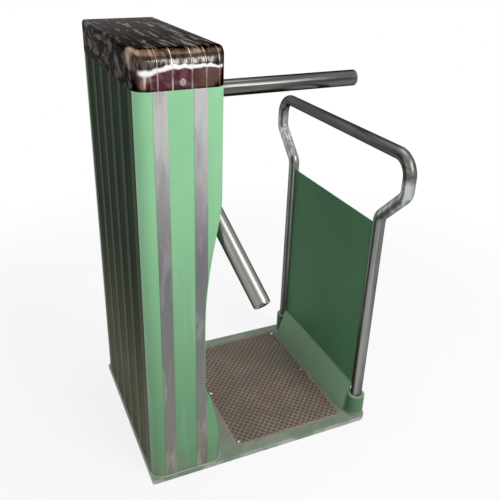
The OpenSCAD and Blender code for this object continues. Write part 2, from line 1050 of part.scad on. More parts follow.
module cap_lock_cam() {
    color([0.6, 0.6, 0.6])
        on_cap_lock()
            translate([0, 0, lock_l - lock_head_t])
                difference() {
                    union() {
                        cylinder(r = cam_hub_r, h = cam_plate_t);
                        translate([-cam_arm[0] / 2, 0, 0])
                            cube([cam_arm[0], cam_arm[1], cam_plate_t]);
                    }
                    through(cam_hole_r, cam_plate_t);
                }
}

// Hook on the frame that the lock's cam turns under
module lock_strike() {
    y_low = -post_y - post_d + strike_y;
    centre = x0 + cab_w / 2;
    tip_z = cap_z + strike_rise;
    color([0.5, 0.5, 0.5])
        union() {
            box([centre + strike_x[0], y_low, post_top_z],
                [centre + strike_x[2], y_low + strike_d, post_top_z + strike_t]);
            box([centre + strike_x[2] - strike_t, y_low, post_top_z],
                [centre + strike_x[2], y_low + strike_d, tip_z]);
            box([centre + strike_x[1], y_low, tip_z - strike_t],
                [centre + strike_x[2], y_low + strike_d, tip_z]);
        }
}

// Bolts that hold the mechanism bracket to the frame's left bars, from the middle outward
module bracket_bolt_places() {
    for (side = [-1, 1], drop = bar_drop)
        translate([x0 + post_x[0] + post_w, side * bracket_bolt_y, hub_z - drop + bar_h / 2])
            rotate([0, -90, 0])
                children();
}

// Slanted plate behind the scoop with two cheeks and four bolting ears
module mechanism_bracket() {
    left = post_x[0] + post_w;
    low_z = hub_z - bar_drop[0];
    foot = hub_x - cheek_foot;
    top = hub_z + cheek_rise;
    plate_mid = (plate_h0 + plate_h1) / 2 / sin(45);
    color([0.5, 0.52, 0.54])
        difference() {
            union() {
                on_rotor()
                    translate([-plate_back, -bracket_y - bracket_t, plate_h0])
                        cube([plate_back + plate_front, 2 * (bracket_y + bracket_t),
                            plate_h1 - plate_h0]);
                for (side = [-1, 1]) {
                    translate([x0, side * (bracket_y + bracket_t / 2), 0])
                        rotate([90, 0, 0])
                            linear_extrude(height = bracket_t, center = true)
                                polygon([
                                    [left, low_z],
                                    [foot, low_z],
                                    [foot, hub_z - cheek_foot - plate_mid],
                                    [hub_x + cheek_rise + plate_mid, top],
                                    [left, top],
                                ]);
                    for (drop = bar_drop)
                        translate([x0 + left, side * (bracket_y + ear_w / 2) - ear_w / 2, hub_z - drop])
                            cube([bracket_t, ear_w, bar_h]);
                }
            }
            on_rotor()
                cylinder(r = spigot_r, h = 2 * plate_h1);
            housing_bolt_places()
                cylinder(r = housing_bolt_r, h = 4 * plate_h1, center = true);
            bracket_bolt_places()
                translate([0, 0, -bracket_t - over])
                    cylinder(r = plain_screw_r, h = bracket_t + 2 * over);
        }
}

module bracket_bolts() {
    color([0.6, 0.6, 0.6])
        bracket_bolt_places()
            translate([0, 0, -bracket_t - bracket_head_t])
                union() {
                    cylinder(r = plain_screw_r, h = bracket_head_t + bracket_t + bracket_bolt_l);
                    cylinder(r = bracket_head_r, h = bracket_head_t, $fn = 6);
                }
}

module housing_bolt_places() {
    on_rotor()
        for (i = [0:3])
            rotate([0, 0, 45 + 90 * i])
                translate([housing_bolt_circle, 0, plate_h0])
                    children();
}

// Turned housing that holds both bearings behind the slanted plate
module bearing_housing() {
    color([0.55, 0.57, 0.6])
        difference() {
            on_rotor()
                difference() {
                    union() {
                        translate([0, 0, housing_back])
                            cylinder(r = housing_r, h = plate_h0 - housing_back);
                        translate([0, 0, plate_h0 - housing_flange_t])
                            cylinder(r = housing_flange_r, h = housing_flange_t);
                        cylinder(r = spigot_r, h = plate_h1);
                    }
                    translate([0, 0, housing_back - over])
                        cylinder(r = housing_bore_r, h = plate_h1 - housing_back + 2 * over);
                    translate([0, 0, front_bearing_h])
                        cylinder(r = bearing_r, h = plate_h1 - front_bearing_h + over);
                    translate([0, 0, housing_back - over])
                        cylinder(r = bearing_r, h = rear_bearing_h + bearing_w - housing_back + over);
                }
            housing_bolt_places()
                cylinder(r = housing_bolt_r, h = 4 * plate_h1, center = true);
        }
}

module housing_bolts() {
    color([0.6, 0.6, 0.6])
        housing_bolt_places()
            translate([0, 0, -housing_flange_t - housing_head_t])
                union() {
                    cylinder(r = housing_bolt_r,
                        h = housing_head_t + housing_flange_t + plate_h1 - plate_h0);
                    cylinder(r = housing_head_r, h = housing_head_t, $fn = 6);
                }
}

// A ball bearing: outer ring, inner ring and the cage between them
module bearing(h) {
    color([0.78, 0.79, 0.8])
        on_rotor()
            translate([0, 0, h])
                difference() {
                    cylinder(r = bearing_r, h = bearing_w);
                    through(shaft_r + run_clear, bearing_w);
                    for (z = [-over, bearing_w - groove_t])
                        translate([0, 0, z])
                            ring(bearing_r - bearing_ring, shaft_r + bearing_ring, groove_t + over);
                }
}

module front_bearing() {
    bearing(front_bearing_h);
}

module rear_bearing() {
    bearing(rear_bearing_h);
}

module rotor_shaft() {
    color([0.7, 0.7, 0.72])
        on_rotor()
            union() {
                translate([0, 0, shaft_back])
                    cylinder(r = shaft_r, h = hub_h1 - shaft_back);
                translate([0, 0, front_bearing_h + bearing_w + collar_gap])
                    cylinder(r = shaft_r + shaft_collar,
                        h = hub_h0 - front_bearing_h - bearing_w - collar_gap);
                translate([0, 0, hub_h1 - eps])
                    cylinder(r = stud_r, h = stud_h);
            }
}

// Hub casting: domed body with three collars, bored for the arms and the shaft
module hub() {
    color([0.55, 0.56, 0.57])
        difference() {
            union() {
                on_rotor()
                    rotate_extrude()
                        polygon(concat(
                            [
                                [shaft_r, hub_h0],
                                [hub_r - hub_edge, hub_h0],
                                [hub_r, hub_h0 + hub_edge],
                                [hub_r, hub_h0 + hub_rim],
                            ],
                            [
                                for (s = hub_shares)
                                    [hub_r * s[0], hub_h0 + hub_len * s[1]]
                            ],
                            [[shaft_r, hub_h1]]
                        ));
                for (i = [0:2])
                    on_arm(i)
                        translate([0, 0, collar_s[0]])
                            cylinder(r = collar_r, h = collar_s[1] - collar_s[0]);
            }
            on_rotor()
                cylinder(r = shaft_r, h = 2 * hub_h1);
            for (i = [0:2])
                on_arm(i) {
                    translate([0, 0, arm_s])
                        cylinder(r = arm_r, h = hub_h1);
                    translate([0, 0, arm_screw_s])
                        rotate([-90, 0, 0])
                            cylinder(r = arm_screw_r, h = 2 * collar_r);
                }
        }
}

module hub_nut() {
    color([0.6, 0.6, 0.6])
        on_rotor()
            translate([0, 0, hub_h1])
                difference() {
                    cylinder(r = nut_r, h = nut_h, $fn = 6);
                    through(stud_r, nut_h);
                }
}

// Dished cover over the shaft nut
module hub_cap() {
    color([0.72, 0.72, 0.72])
        on_rotor()
            translate([0, 0, hub_h1])
                rotate_extrude()
                    polygon([
                        for (s = hub_cap_shares)
                            [hub_cap_r * s[0], hub_cap_h * s[1]]
                    ]);
}

// One arm: a polished tube, fixed in its collar by a cross screw
module arm(i) {
    color([0.66, 0.66, 0.66])
        on_arm(i)
            difference() {
                translate([0, 0, arm_s])
                    ring(arm_r, arm_r - arm_wall, arm_l - plug_dome - plug_t - arm_s);
                translate([0, 0, arm_screw_s])
                    rotate([-90, 0, 0])
                        cylinder(r = arm_screw_r, h = 2 * arm_r);
            }
}

module level_arm() {
    arm(0);
}

module front_arm() {
    arm(1);
}

module rear_arm() {
    arm(2);
}

// Domed plugs in the arm ends
module arm_plugs() {
    dome_r = (arm_r * arm_r + plug_dome * plug_dome) / (2 * plug_dome);
    shoulder = arm_l - plug_dome - plug_t;
    color([0.6, 0.6, 0.6])
        for (i = [0:2])
            on_arm(i)
                union() {
                    translate([0, 0, shoulder - plug_spigot])
                        cylinder(r = arm_r - arm_wall, h = plug_spigot + plug_t);
                    translate([0, 0, shoulder])
                        cylinder(r = arm_r, h = plug_t);
                    intersection() {
                        translate([0, 0, arm_l - dome_r])
                            sphere(r = dome_r);
                        translate([0, 0, shoulder + plug_t - eps])
                            cylinder(r = arm_r, h = plug_dome + over);
                    }
                }
}

module arm_screws() {
    color([0.6, 0.6, 0.6])
        for (i = [0:2])
            on_arm(i)
                translate([0, 0, arm_screw_s])
                    rotate([-90, 0, 0])
                        translate([0, 0, arm_r - arm_wall])
                            cylinder(r = arm_screw_r, h = arm_screw_l);
}

// Disc with twelve notches, so that the locking pins can also stop the rotor part of the way
module lock_disc() {
    color([0.6, 0.6, 0.62])
        on_rotor()
            translate([0, 0, disc_h])
                difference() {
                    cylinder(r = disc_r, h = disc_t);
                    through(shaft_r, disc_t);
                    for (i = [1:notch_count])
                        rotate([0, 0, 360 * i / notch_count])
                            translate([disc_r - notch_depth, -notch_w / 2, -over])
                                cube([2 * notch_depth, notch_w, disc_t + 2 * over]);
                }
}

// Plate clamped on the housing that carries solenoids, damper and lever post
module lock_mount() {
    color([0.5, 0.52, 0.54])
        on_rotor()
            translate([0, 0, mount_h])
                difference() {
                    union() {
                        cylinder(r = housing_r + mount_ring, h = mount_t);
                        for (side = [-1, 1])
                            rotate([0, 0, side * 120])
                                translate([wing_start, -solenoid_w / 2 + mount_inset, 0])
                                    cube([solenoid_r[1] + solenoid_lip - wing_start,
                                        solenoid_w - 2 * mount_inset, mount_t]);
                        translate([-pinion_x - damper_r, -damper_r + mount_inset, 0])
                            cube([pinion_x + damper_r - wing_start, 2 * (damper_r - mount_inset),
                                mount_t]);
                        translate([lever_pivot[0] - lever_boss_r, wing_start, 0])
                            cube([2 * lever_boss_r, lever_pivot[1] + lever_boss_r - wing_start,
                                mount_t]);
                    }
                    through(housing_r, mount_t);
                }
}

// Turns to a solenoid's own frame: X runs out from the rotor axis through the locking pin
module on_lock(side) {
    on_rotor()
        rotate([0, 0, side * 120])
            translate([0, 0, disc_h + disc_t / 2])
                children();
}

module solenoid(side) {
    half = mount_h - disc_h - disc_t / 2;
    color([0.15, 0.16, 0.18])
        on_lock(side)
            difference() {
                box([solenoid_r[0], -solenoid_w / 2, -half], [solenoid_r[1], solenoid_w / 2, half]);
                translate([solenoid_r[0] - over, 0, 0])
                    rotate([0, 90, 0])
                        cylinder(r = pin_r + run_clear, h = solenoid_r[1]);
            }
}

module front_solenoid() {
    solenoid(-1);
}

module rear_solenoid() {
    solenoid(1);
}

module lock_pin(side) {
    color([0.72, 0.72, 0.74])
        on_lock(side)
            rotate([0, 90, 0])
                union() {
                    translate([0, 0, pin_tip])
                        cylinder(r = pin_r, h = pin_back - pin_tip);
                    translate([0, 0, pin_back])
                        cylinder(r = pin_head_r, h = pin_head_t);
                }
}

module front_lock_pin() {
    lock_pin(-1);
}

module rear_lock_pin() {
    lock_pin(1);
}

// Involute flank: half the angle of a tooth at radius r
function involute(angle) = tan(angle) * 180 / PI - angle;
function tooth_half(teeth, r) =
    let (pitch_r = gear_m * teeth / 2, base_r = pitch_r * cos(20))
    90 / teeth - backlash / pitch_r * 90 / PI + involute(20)
        - (r > base_r ? involute(acos(base_r / r)) : 0);

// Outline of a spur gear, its first tooth on the X axis
function gear_outline(teeth) =
    let (
        pitch_r = gear_m * teeth / 2,
        root_r = pitch_r - 1.15 * gear_m,
        tip_r = pitch_r + 0.85 * gear_m,
        steps = [root_r, pitch_r - 0.4 * gear_m, pitch_r, pitch_r + 0.45 * gear_m, tip_r]
    )
    [
        for (i = [0:teeth - 1])
            let (mid = 360 * i / teeth)
            for (k = [0:9])
                let (
                    up = k < 5,
                    r = up ? steps[k] : steps[9 - k],
                    a = mid + (up ? -1 : 1) * tooth_half(teeth, r)
                )
                [r * cos(a), r * sin(a)]
    ];

module shaft_gear() {
    color([0.75, 0.68, 0.45])
        on_rotor()
            translate([0, 0, gear_h])
                difference() {
                    linear_extrude(height = gear_t)
                        polygon(gear_outline(gear_teeth));
                    through(shaft_r, gear_t);
                }
}

// Rotary damper that slows the rotor, driven by the shaft gear
module damper() {
    color([0.2, 0.2, 0.22])
        on_rotor()
            translate([-pinion_x, 0, disc_h])
                difference() {
                    cylinder(r = damper_r, h = mount_h - disc_h);
                    translate([0, 0, -over])
                        cylinder(r = pinion_r + run_clear, h = damper_bore + over);
                }
}

module damper_pinion() {
    color([0.75, 0.68, 0.45])
        on_rotor()
            translate([-pinion_x, 0, 0])
                union() {
                    translate([0, 0, gear_h])
                        rotate([0, 0, 180 / pinion_teeth])
                            linear_extrude(height = gear_t)
                                polygon(gear_outline(pinion_teeth));
                    translate([0, 0, gear_h - pinion_tip])
                        cylinder(r = pinion_r, h = disc_h + pinion_stub + pinion_tip - gear_h);
                }
}

// Three-lobed cam that the roller presses on to bring the rotor home
module index_cam() {
    color([0.6, 0.6, 0.62])
        on_rotor()
            translate([0, 0, cam_h])
                difference() {
                    linear_extrude(height = cam_t)
                        polygon([
                            for (a = [0:cam_step:360 - cam_step])
                                (cam_r - cam_lift * cos(3 * (a - roller_angle))) * [cos(a), sin(a)]
                        ]);
                    through(shaft_r, cam_t);
                }
}

module index_lever() {
    roller = roller_at * [cos(roller_angle), sin(roller_angle)];
    along = roller - lever_pivot;
    color([0.5, 0.52, 0.54])
        on_rotor()
            translate([lever_pivot[0], lever_pivot[1], lever_h])
                rotate([0, 0, atan2(along[1], along[0])])
                    difference() {
                        union() {
                            cylinder(r = lever_boss_r, h = lever_t);
                            translate([0, -lever_r, 0])
                                cube([norm(along), 2 * lever_r, lever_t]);
                            translate([norm(along), 0, 0])
                                cylinder(r = lever_r, h = lever_t);
                            translate([norm(along), 0, 0])
                                cylinder(r = roller_pin_r, h = cam_h + cam_t + over - lever_h);
                        }
                        through(post_r + run_clear, lever_t);
                    }
}

module index_roller() {
    color([0.3, 0.3, 0.3])
        on_rotor()
            rotate([0, 0, roller_angle])
                translate([roller_at, 0, cam_h])
                    ring(roller_r, roller_pin_r + run_clear, cam_t);
}

module lever_post() {
    color([0.7, 0.7, 0.72])
        on_rotor()
            translate([lever_pivot[0], lever_pivot[1], 0])
                union() {
                    translate([0, 0, lever_h - post_tip - post_head])
                        cylinder(r = post_r, h = mount_h - lever_h + post_tip + post_head);
                    translate([0, 0, lever_h - post_tip - post_head])
                        cylinder(r = post_r + post_head, h = post_head);
                }
}

// Torsion spring on the lever post
module index_spring() {
    color([0.5, 0.5, 0.52])
        on_rotor()
            translate([lever_pivot[0], lever_pivot[1], lever_h + lever_t + spring_gap])
                ring(spring_r[1], spring_r[0], mount_h - lever_h - lever_t - spring_gap);
}

module control_box() {
    color([0.75, 0.75, 0.72])
        translate([x0 + sheet_t, control_at[0], control_at[1]])
            rounded_block([0, 0, 0], control_size, control_r);
}

module power_supply() {
    color([0.65, 0.66, 0.68])
        translate([x0 + sheet_t, supply_at[0], supply_at[1]])
            cube(supply_size);
}

// Gland in the platform through which the supply cable comes up
module cable_gland() {
    color([0.15, 0.15, 0.15])
        translate([x0 + anchor_x, 0, base_t])
            union() {
                ring(gland_flange_r, cable_r, gland_flange_t);
                ring(gland_r, cable_r, gland_h);
            }
}

base_frame();
tread_plate();
tread_screws();
kick_plate();
kick_screws();
front_socket();
rear_socket();
socket_screws();
guard_rail();
rail_panel();
panel_tabs();
panel_rivets();
cabinet_frame();
frame_bolts();
foot_seal();
front_cover();
rear_cover();
cover_screws();
side_panel();
passage_panel();
panel_screws();
front_trim();
rear_trim();
side_trim();
cap_cover();
cap_lock_barrel();
cap_lock_cam();
lock_strike();
mechanism_bracket();
bracket_bolts();
bearing_housing();
housing_bolts();
front_bearing();
rear_bearing();
rotor_shaft();
hub();
hub_nut();
hub_cap();
level_arm();
front_arm();
rear_arm();
arm_plugs();
arm_screws();
lock_disc();
lock_mount();
front_solenoid();
rear_solenoid();
front_lock_pin();
rear_lock_pin();
shaft_gear();
damper();
damper_pinion();
index_cam();
index_lever();
index_roller();
lever_post();
index_spring();
control_box();
power_supply();
cable_gland();
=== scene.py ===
"""Waist-high tripod turnstile: finished surfaces, added pieces and the studio it stands in."""

import json
import math

import bmesh
import bpy
from mathutils import Matrix, Vector

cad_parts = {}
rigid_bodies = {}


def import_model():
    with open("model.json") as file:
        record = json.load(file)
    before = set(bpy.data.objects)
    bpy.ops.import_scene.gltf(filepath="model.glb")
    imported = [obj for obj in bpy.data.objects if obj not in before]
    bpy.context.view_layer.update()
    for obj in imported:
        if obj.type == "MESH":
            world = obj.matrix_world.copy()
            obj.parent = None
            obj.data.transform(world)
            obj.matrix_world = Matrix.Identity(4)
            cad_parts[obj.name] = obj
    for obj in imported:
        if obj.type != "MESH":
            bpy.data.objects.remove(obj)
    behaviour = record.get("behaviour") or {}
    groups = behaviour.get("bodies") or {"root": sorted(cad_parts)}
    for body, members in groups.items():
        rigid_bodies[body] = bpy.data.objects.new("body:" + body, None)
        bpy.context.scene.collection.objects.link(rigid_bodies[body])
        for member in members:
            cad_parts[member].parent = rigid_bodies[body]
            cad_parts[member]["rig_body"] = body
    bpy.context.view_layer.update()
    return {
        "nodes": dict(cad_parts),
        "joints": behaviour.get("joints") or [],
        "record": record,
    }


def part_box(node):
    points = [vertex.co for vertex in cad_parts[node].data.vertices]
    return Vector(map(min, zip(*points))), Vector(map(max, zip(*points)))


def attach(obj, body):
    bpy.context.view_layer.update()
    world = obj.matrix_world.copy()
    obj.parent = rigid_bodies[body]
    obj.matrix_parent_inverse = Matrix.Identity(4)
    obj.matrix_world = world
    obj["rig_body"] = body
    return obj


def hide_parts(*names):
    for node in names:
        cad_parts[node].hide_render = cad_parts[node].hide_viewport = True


bl_info = {
    "name": "Tripod Turnstile",
    "version": (1, 0, 0),
    "blender": (4, 5, 0),
    "location": "3D View > Sidebar > Turnstile",
    "description": "Finishes a tripod turnstile and sets it in a studio",
    "category": "Object",
}

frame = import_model()
SUBPARTS = {part["node"]: part["material_slot"] for part in frame["record"]["subparts"]}

# Sizes and places, in metres and degrees

SMOOTH_ANGLE = 32.0
FLAT_ANGLE = 0.6
MERGE_GAP = 2e-5
TURN_STEPS = 96

TREAD_RIM = 0.006
TREAD_POCKET_DEPTH = 0.0014
TREAD_GRID = 0.6

RAIL_RADIUS = 0.016
RAIL_LEG_Y = 0.227
RAIL_KNEE_Z = 0.640
RAIL_KNEE_BEND = 0.034
RAIL_CROWN_BEND = 0.050
RAIL_SIDE_GAP = 0.00015
RAIL_SEGMENTS = 64
KNEE_ANGLE = 45
KNEE_STEPS = 8
CROWN_ANGLE = 90
CROWN_STEPS = 16

CAP_SEAT = 0.014
CAP_SHEET = 0.0018
CAP_LIP_INSET = 0.0023
CAP_LIP_OVERLAP = 0.003
CAP_FRONT_UPRIGHT_BEND = 0.030
CAP_REAR_UPRIGHT_BEND = 0.012
CAP_FRONT_EDGE_BEND = 0.038
CAP_TOP_EDGE_BEND = 0.008

ROTOR_TILT = 135
ARM_SPLAY = 45
ARM_TURN = 120
ARM_ROOT = 0.052
ARM_SOCKET = 0.060
ARM_TIP = 0.558
ARM_CHAMFER = 0.0008
ARM_MOUTH = 0.0004
PLUG_DOME = 0.006
PLUG_RIM = 0.003
PLUG_GAP = 0.0002

FLOOR_HALF = 9.0
CAMERA_PLACE = (-0.639, -1.372, 1.293)
CAMERA_YAW, CAMERA_PITCH, CAMERA_ROLL = (math.radians(angle) for angle in (22.72, 25.49, 0.75))
CAMERA_SHIFT = (0.0556, -0.0486)
SENSOR_MM = 36.0

# Each lamp's place, target, size, watts and colour

WHITE = (1.0, 1.0, 1.0)
WARM_WHITE = (1.0, 0.99, 0.97)
COOL_WHITE = (0.95, 0.97, 1.0)
LAMPS = {
    "key": ((1.0, -2.6, 2.6), (0.0, -0.1, 0.6), 1.6, 62.0, WARM_WHITE),
    "fill": ((-2.6, -1.2, 1.6), (-0.2, 0.0, 0.5), 1.6, 7.0, WARM_WHITE),
    "top": ((0.2, 0.3, 3.4), (0.0, 0.0, 0.5), 1.8, 26.0, WHITE),
}
ROOM_LIGHT = 0.42

# Each arm's share of painted reflection, its grey and its roughness: the front arm painted bright, the
# level and rear arms painted dark

ARM_PAINTED_LIGHT_AND_ROUGHNESS = {
    "level_arm": (0.68, 0.040, 0.13),
    "front_arm": (0.75, 0.24, 0.31),
    "rear_arm": (0.30, 0.045, 0.13),
}
EDGE_TINT = (0.22, 0.22, 0.21, 1.0)


# Shader arithmetic


class Grade:
    """A shader value that plain arithmetic works on."""

    def __init__(self, shader, socket):
        self.shader = shader
        self.socket = socket

    def __add__(self, other):
        return self.shader.math("ADD", self, other)

    __radd__ = __add__

    def __mul__(self, other):
        return self.shader.math("MULTIPLY", self, other)

    __rmul__ = __mul__

    def __sub__(self, other):
        return self.shader.math("SUBTRACT", self, other)

    def __rsub__(self, other):
        return self.shader.math("SUBTRACT", other, self)

    def __abs__(self):
        return self.shader.math("ABSOLUTE", self)


class Shader:
    """The node tree of a world or a material, built up from nothing."""

    def __init__(self, owner):
        owner.use_nodes = True
        self.tree = owner.node_tree
        self.tree.nodes.clear()

    def node(self, kind, settings=None, values=None, output=0):
        """Adds a node, sets it up, joins or fills its sockets and returns one output."""
        made = self.tree.nodes.new(kind)
        for key, value in (settings or {}).items():
            setattr(made, key, value)
        for key, value in (values or {}).items():
            if isinstance(value, Grade):
                self.tree.links.new(value.socket, made.inputs[key])
            else:
                made.inputs[key].default_value = value
        return Grade(self, made.outputs[output])

    def math(self, operation, *terms):
        """One arithmetic step on shader values or plain numbers."""
        return self.node("ShaderNodeMath", {"operation": operation}, dict(enumerate(terms)))

    def between(self, value, low, high):
        """How far a value has come from one limit to the other, from 0 to 1, with soft ends."""
        settings = {"interpolation_type": "SMOOTHSTEP"}
        return self.node("ShaderNodeMapRange", settings, {0: value, 1: low, 2: high, 3: 0.0, 4: 1.0})

    def mix(self, amount, first, second):
        """A colour between two colours."""
        first, second = ((*c, 1.0) if isinstance(c, tuple) else c for c in (first, second))
        return self.node("ShaderNodeMix", {"data_type": "RGBA"}, {0: amount, 6: first, 7: second}, 2)

    def seen(self):
        """One where the camera, a reflection or a clear body looks, else zero."""
        kinds = ("Is Camera Ray", "Is Glossy Ray", "Is Transmission Ray")
        camera, glossy, clear = (self.node("ShaderNodeLightPath", output=kind) for kind in kinds)
        return self.math("MAXIMUM", camera, self.math("MAXIMUM", glossy, clear))

    def blend(self, amount, first, second):
        """One surface or background passing into another."""
        return self.node("ShaderNodeMixShader", {}, {0: amount, 1: first, 2: second})

    def show(self, kind, result):
        """Joins the result to the tree's output."""
        output = self.tree.nodes.new(kind)
        self.tree.links.new(result.socket, output.inputs["Surface"])


class Paint(Shader):
    """A finish in the making, read from the object's own coordinates in metres."""

    def __init__(self, name):
        self.material = bpy.data.materials.new(name)
        super().__init__(self.material)
        self.place = self.node("ShaderNodeTexCoord", output="Object")
        self.x, self.y, self.z = (
            self.node("ShaderNodeSeparateXYZ", values={0: self.place}, output=axis) for axis in range(3)
        )

    def along(self, direction):
        """The place as two distances across a direction and one along it."""
        turn = Vector(direction).to_track_quat("Z", "Y").to_matrix().transposed()
        parts = [self.x * row[0] + self.y * row[1] + self.z * row[2] for row in turn]
        return self.node("ShaderNodeCombineXYZ", {}, dict(enumerate(parts)))

    def noise(self, size, detail=3.0, stretch=(1.0, 1.0, 1.0), warp=0.0, place=None):
        """Cloudy variation whose patches are about as large as the given size in metres."""
        scale = [1.0 / (size * s) for s in stretch]
        at = self.node("ShaderNodeMapping", {}, {"Vector": place or self.place, "Scale": scale})
        values = {"Vector": at, "Scale": 1.0, "Detail": detail, "Roughness": 0.55, "Distortion": warp}
        return self.node("ShaderNodeTexNoise", {}, values)

    def surface(self, colour, roughness, metallic=0.0, height=None, depth=0.0, **fixed):
        """A surface shader, with a relief of the given depth where it has a height."""
        values = {"Base Color": colour, "Roughness": roughness, "Metallic": metallic}
        for name, value in fixed.items():
            values[name.replace("_", " ").title().replace("Ior", "IOR")] = value
        if height is not None:
            bump = {"Strength": 1.0, "Distance": depth, "Height": height}
            values["Normal"] = self.node("ShaderNodeBump", {}, bump)
        return self.node("ShaderNodeBsdfPrincipled", {}, values)

    def finish(self, *values, **named):
        """Joins a surface with these values to the output and returns the material."""
        self.show("ShaderNodeOutputMaterial", self.surface(*values, **named))
        return self.material


# Finishes


def cabinet_paint():
    """Satin light green, darker towards the foot partly as painted shade under light from above, and duller
    and browner there with dirt.
    """
    look = bpy.context.scene.turnstile_finish
    paint = Paint("cabinet_paint")
    rise = paint.between(paint.z, 0.0, 1.02)
    cloud = paint.noise(0.16, 4.0)
    streak = paint.noise(0.04, 3.0, (0.5, 0.5, 8.0))
    fine = paint.noise(0.0035, 2.0)
    grime = paint.between(paint.z, 0.12, 0.012) * paint.between(streak, 0.3, 0.7)
    # Head to foot: partly painted light and painted shade from light above, partly dirt low down
    colour = paint.mix(rise, tuple(look.foot_green_and_shade), tuple(look.head_green_and_light))
    colour = paint.mix(paint.between(cloud, 0.35, 0.8) * 0.28, colour, (0.16, 0.40, 0.20))
    colour = paint.mix(paint.between(streak, 0.52, 0.8) * 0.18, colour, (0.44, 0.70, 0.45))
    colour = paint.mix(grime * 0.65, colour, (0.20, 0.21, 0.13))
    rough = 0.34 + 0.12 * cloud + 0.2 * grime
    return paint.finish(colour, rough, height=fine + 0.4 * cloud, depth=0.00012, specular_ior_level=0.35)


def side_paint():
    """Dark green of the outer side, the cabinet's paint darkened as painted shade, browned low down and
    dusty in long upright streaks.
    """
    paint = Paint("side_paint")
    cloud = paint.noise(0.16, 4.0, warp=0.4)
    streak = paint.noise(0.022, 3.0, (1.0, 0.6, 10.0))
    fine = paint.noise(0.0035, 2.0)
    low = paint.between(paint.z, 0.62, 0.08)
    # Painted shade: these dark greens stand for the cabinet's paint in the shade of the outer side
    colour = paint.mix(low, (0.014, 0.032, 0.015), (0.112, 0.116, 0.074))
    colour = paint.mix(paint.between(streak, 0.45, 0.75) * 0.4, colour, (0.052, 0.060, 0.038))
    brown = paint.between(cloud, 0.42, 0.7) * low
    colour = paint.mix(brown * 0.5, colour, (0.085, 0.064, 0.034))
    return paint.finish(colour, 0.62 + 0.2 * cloud, height=fine, depth=0.00012, specular_ior_level=0.02)


def platform_paint():
    """Grey-green floor paint, worn pale where feet pass and along the edges."""
    paint = Paint("platform_paint")
    low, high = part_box("base_frame")
    cloud = paint.noise(0.07, 5.0)
    scuff = paint.noise(0.012, 4.0, (2.5, 1.0, 1.0), warp=0.4)
    fine = paint.noise(0.002, 2.0)
    tall = paint.between(paint.z, 0.014, 0.03)
    worn = paint.between(cloud, 0.38, 0.66) * (1 - tall)
    ground = paint.mix(tall, (0.190, 0.240, 0.180), (0.078, 0.178, 0.088))
    colour = paint.mix(worn * 0.6, ground, (0.30, 0.33, 0.27))
    colour = paint.mix(paint.between(scuff, 0.58, 0.75) * (1 - tall) * 0.6, colour, (0.13, 0.125, 0.09))
    rims = paint.between(paint.x, low.x + 0.0045, low.x + 0.001)
    rims = rims + paint.between(paint.y, low.y + 0.0035, low.y + 0.0005) * paint.between(cloud, 0.4, 0.6)
    colour = paint.mix(rims * (1 - tall) * 0.7, colour, (0.46, 0.48, 0.43))
    rim = paint.between(paint.z, 0.0765, 0.0785)
    colour = paint.mix(rim * 0.7, colour, (0.33, 0.42, 0.33))
    return paint.finish(
        colour, 0.45 + 0.25 * cloud, height=fine + 0.5 * scuff, depth=0.00015, specular_ior_level=0.35
    )


def kick_paint():
    """Grey-green kerb paint with shoe marks, painted lighter as painted light to make up for the shade on
    the kerb.
    """
    paint = Paint("kick_paint")
    cloud = paint.noise(0.06, 4.0)
    scuff = paint.noise(0.02, 4.0, (1.0, 3.0, 0.6), warp=0.5)
    fine = paint.noise(0.003, 2.0)
    # Painted light: these greens are raised to make up for the shade on the kerb
    colour = paint.mix(paint.between(cloud, 0.35, 0.7) * 0.7, (0.290, 0.450, 0.300), (0.350, 0.455, 0.345))
    colour = paint.mix(paint.between(scuff, 0.55, 0.75) * 0.5, colour, (0.40, 0.43, 0.35))
    return paint.finish(
        colour, 0.48 + 0.2 * cloud, height=fine + 0.3 * scuff, depth=0.00012, specular_ior_level=0.1
    )


def panel_paint():
    """Dark green sheet, smooth with a soft sheen."""
    paint = Paint("panel_paint")
    cloud = paint.noise(0.25, 3.0)
    streak = paint.noise(0.03, 3.0, (1.0, 0.6, 8.0))
    fine = paint.noise(0.003, 2.0)
    rise = paint.between(paint.z, 0.08, 0.63)
    colour = paint.mix(rise, (0.110, 0.255, 0.132), (0.090, 0.212, 0.112))
    colour = paint.mix(paint.between(cloud, 0.4, 0.8) * 0.35, colour, (0.060, 0.145, 0.072))
    colour = paint.mix(paint.between(streak, 0.58, 0.8) * 0.2, colour, (0.095, 0.16, 0.10))
    return paint.finish(colour, 0.40 + 0.1 * cloud, height=fine, depth=0.0001, specular_ior_level=0.08)


def tread_steel():
    """Brown worn tread plate, darker in its pockets."""
    paint = Paint("tread_steel")
    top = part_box("tread_plate")[1].z
    cloud = paint.noise(0.09, 5.0)
    rust = paint.noise(0.040, 5.0, warp=0.6)
    fine = paint.noise(0.0015, 3.0)
    deep = paint.between(paint.z, top - 0.0003, top - 0.0011)
    colour = paint.mix(paint.between(cloud, 0.35, 0.7), (0.260, 0.215, 0.180), (0.370, 0.310, 0.265))
    colour = paint.mix(paint.between(rust, 0.46, 0.66) * 0.6, colour, (0.33, 0.180, 0.125))
    colour = paint.mix(paint.between(fine, 0.55, 0.8) * 0.35, colour, (0.48, 0.42, 0.37))
    colour = paint.mix(deep * 0.80, colour, (0.080, 0.058, 0.046))
    rough = 0.55 + 0.3 * cloud
    return paint.finish(colour, rough, 0.1, height=fine + 0.5 * rust, depth=0.0002, specular_ior_level=0.3)


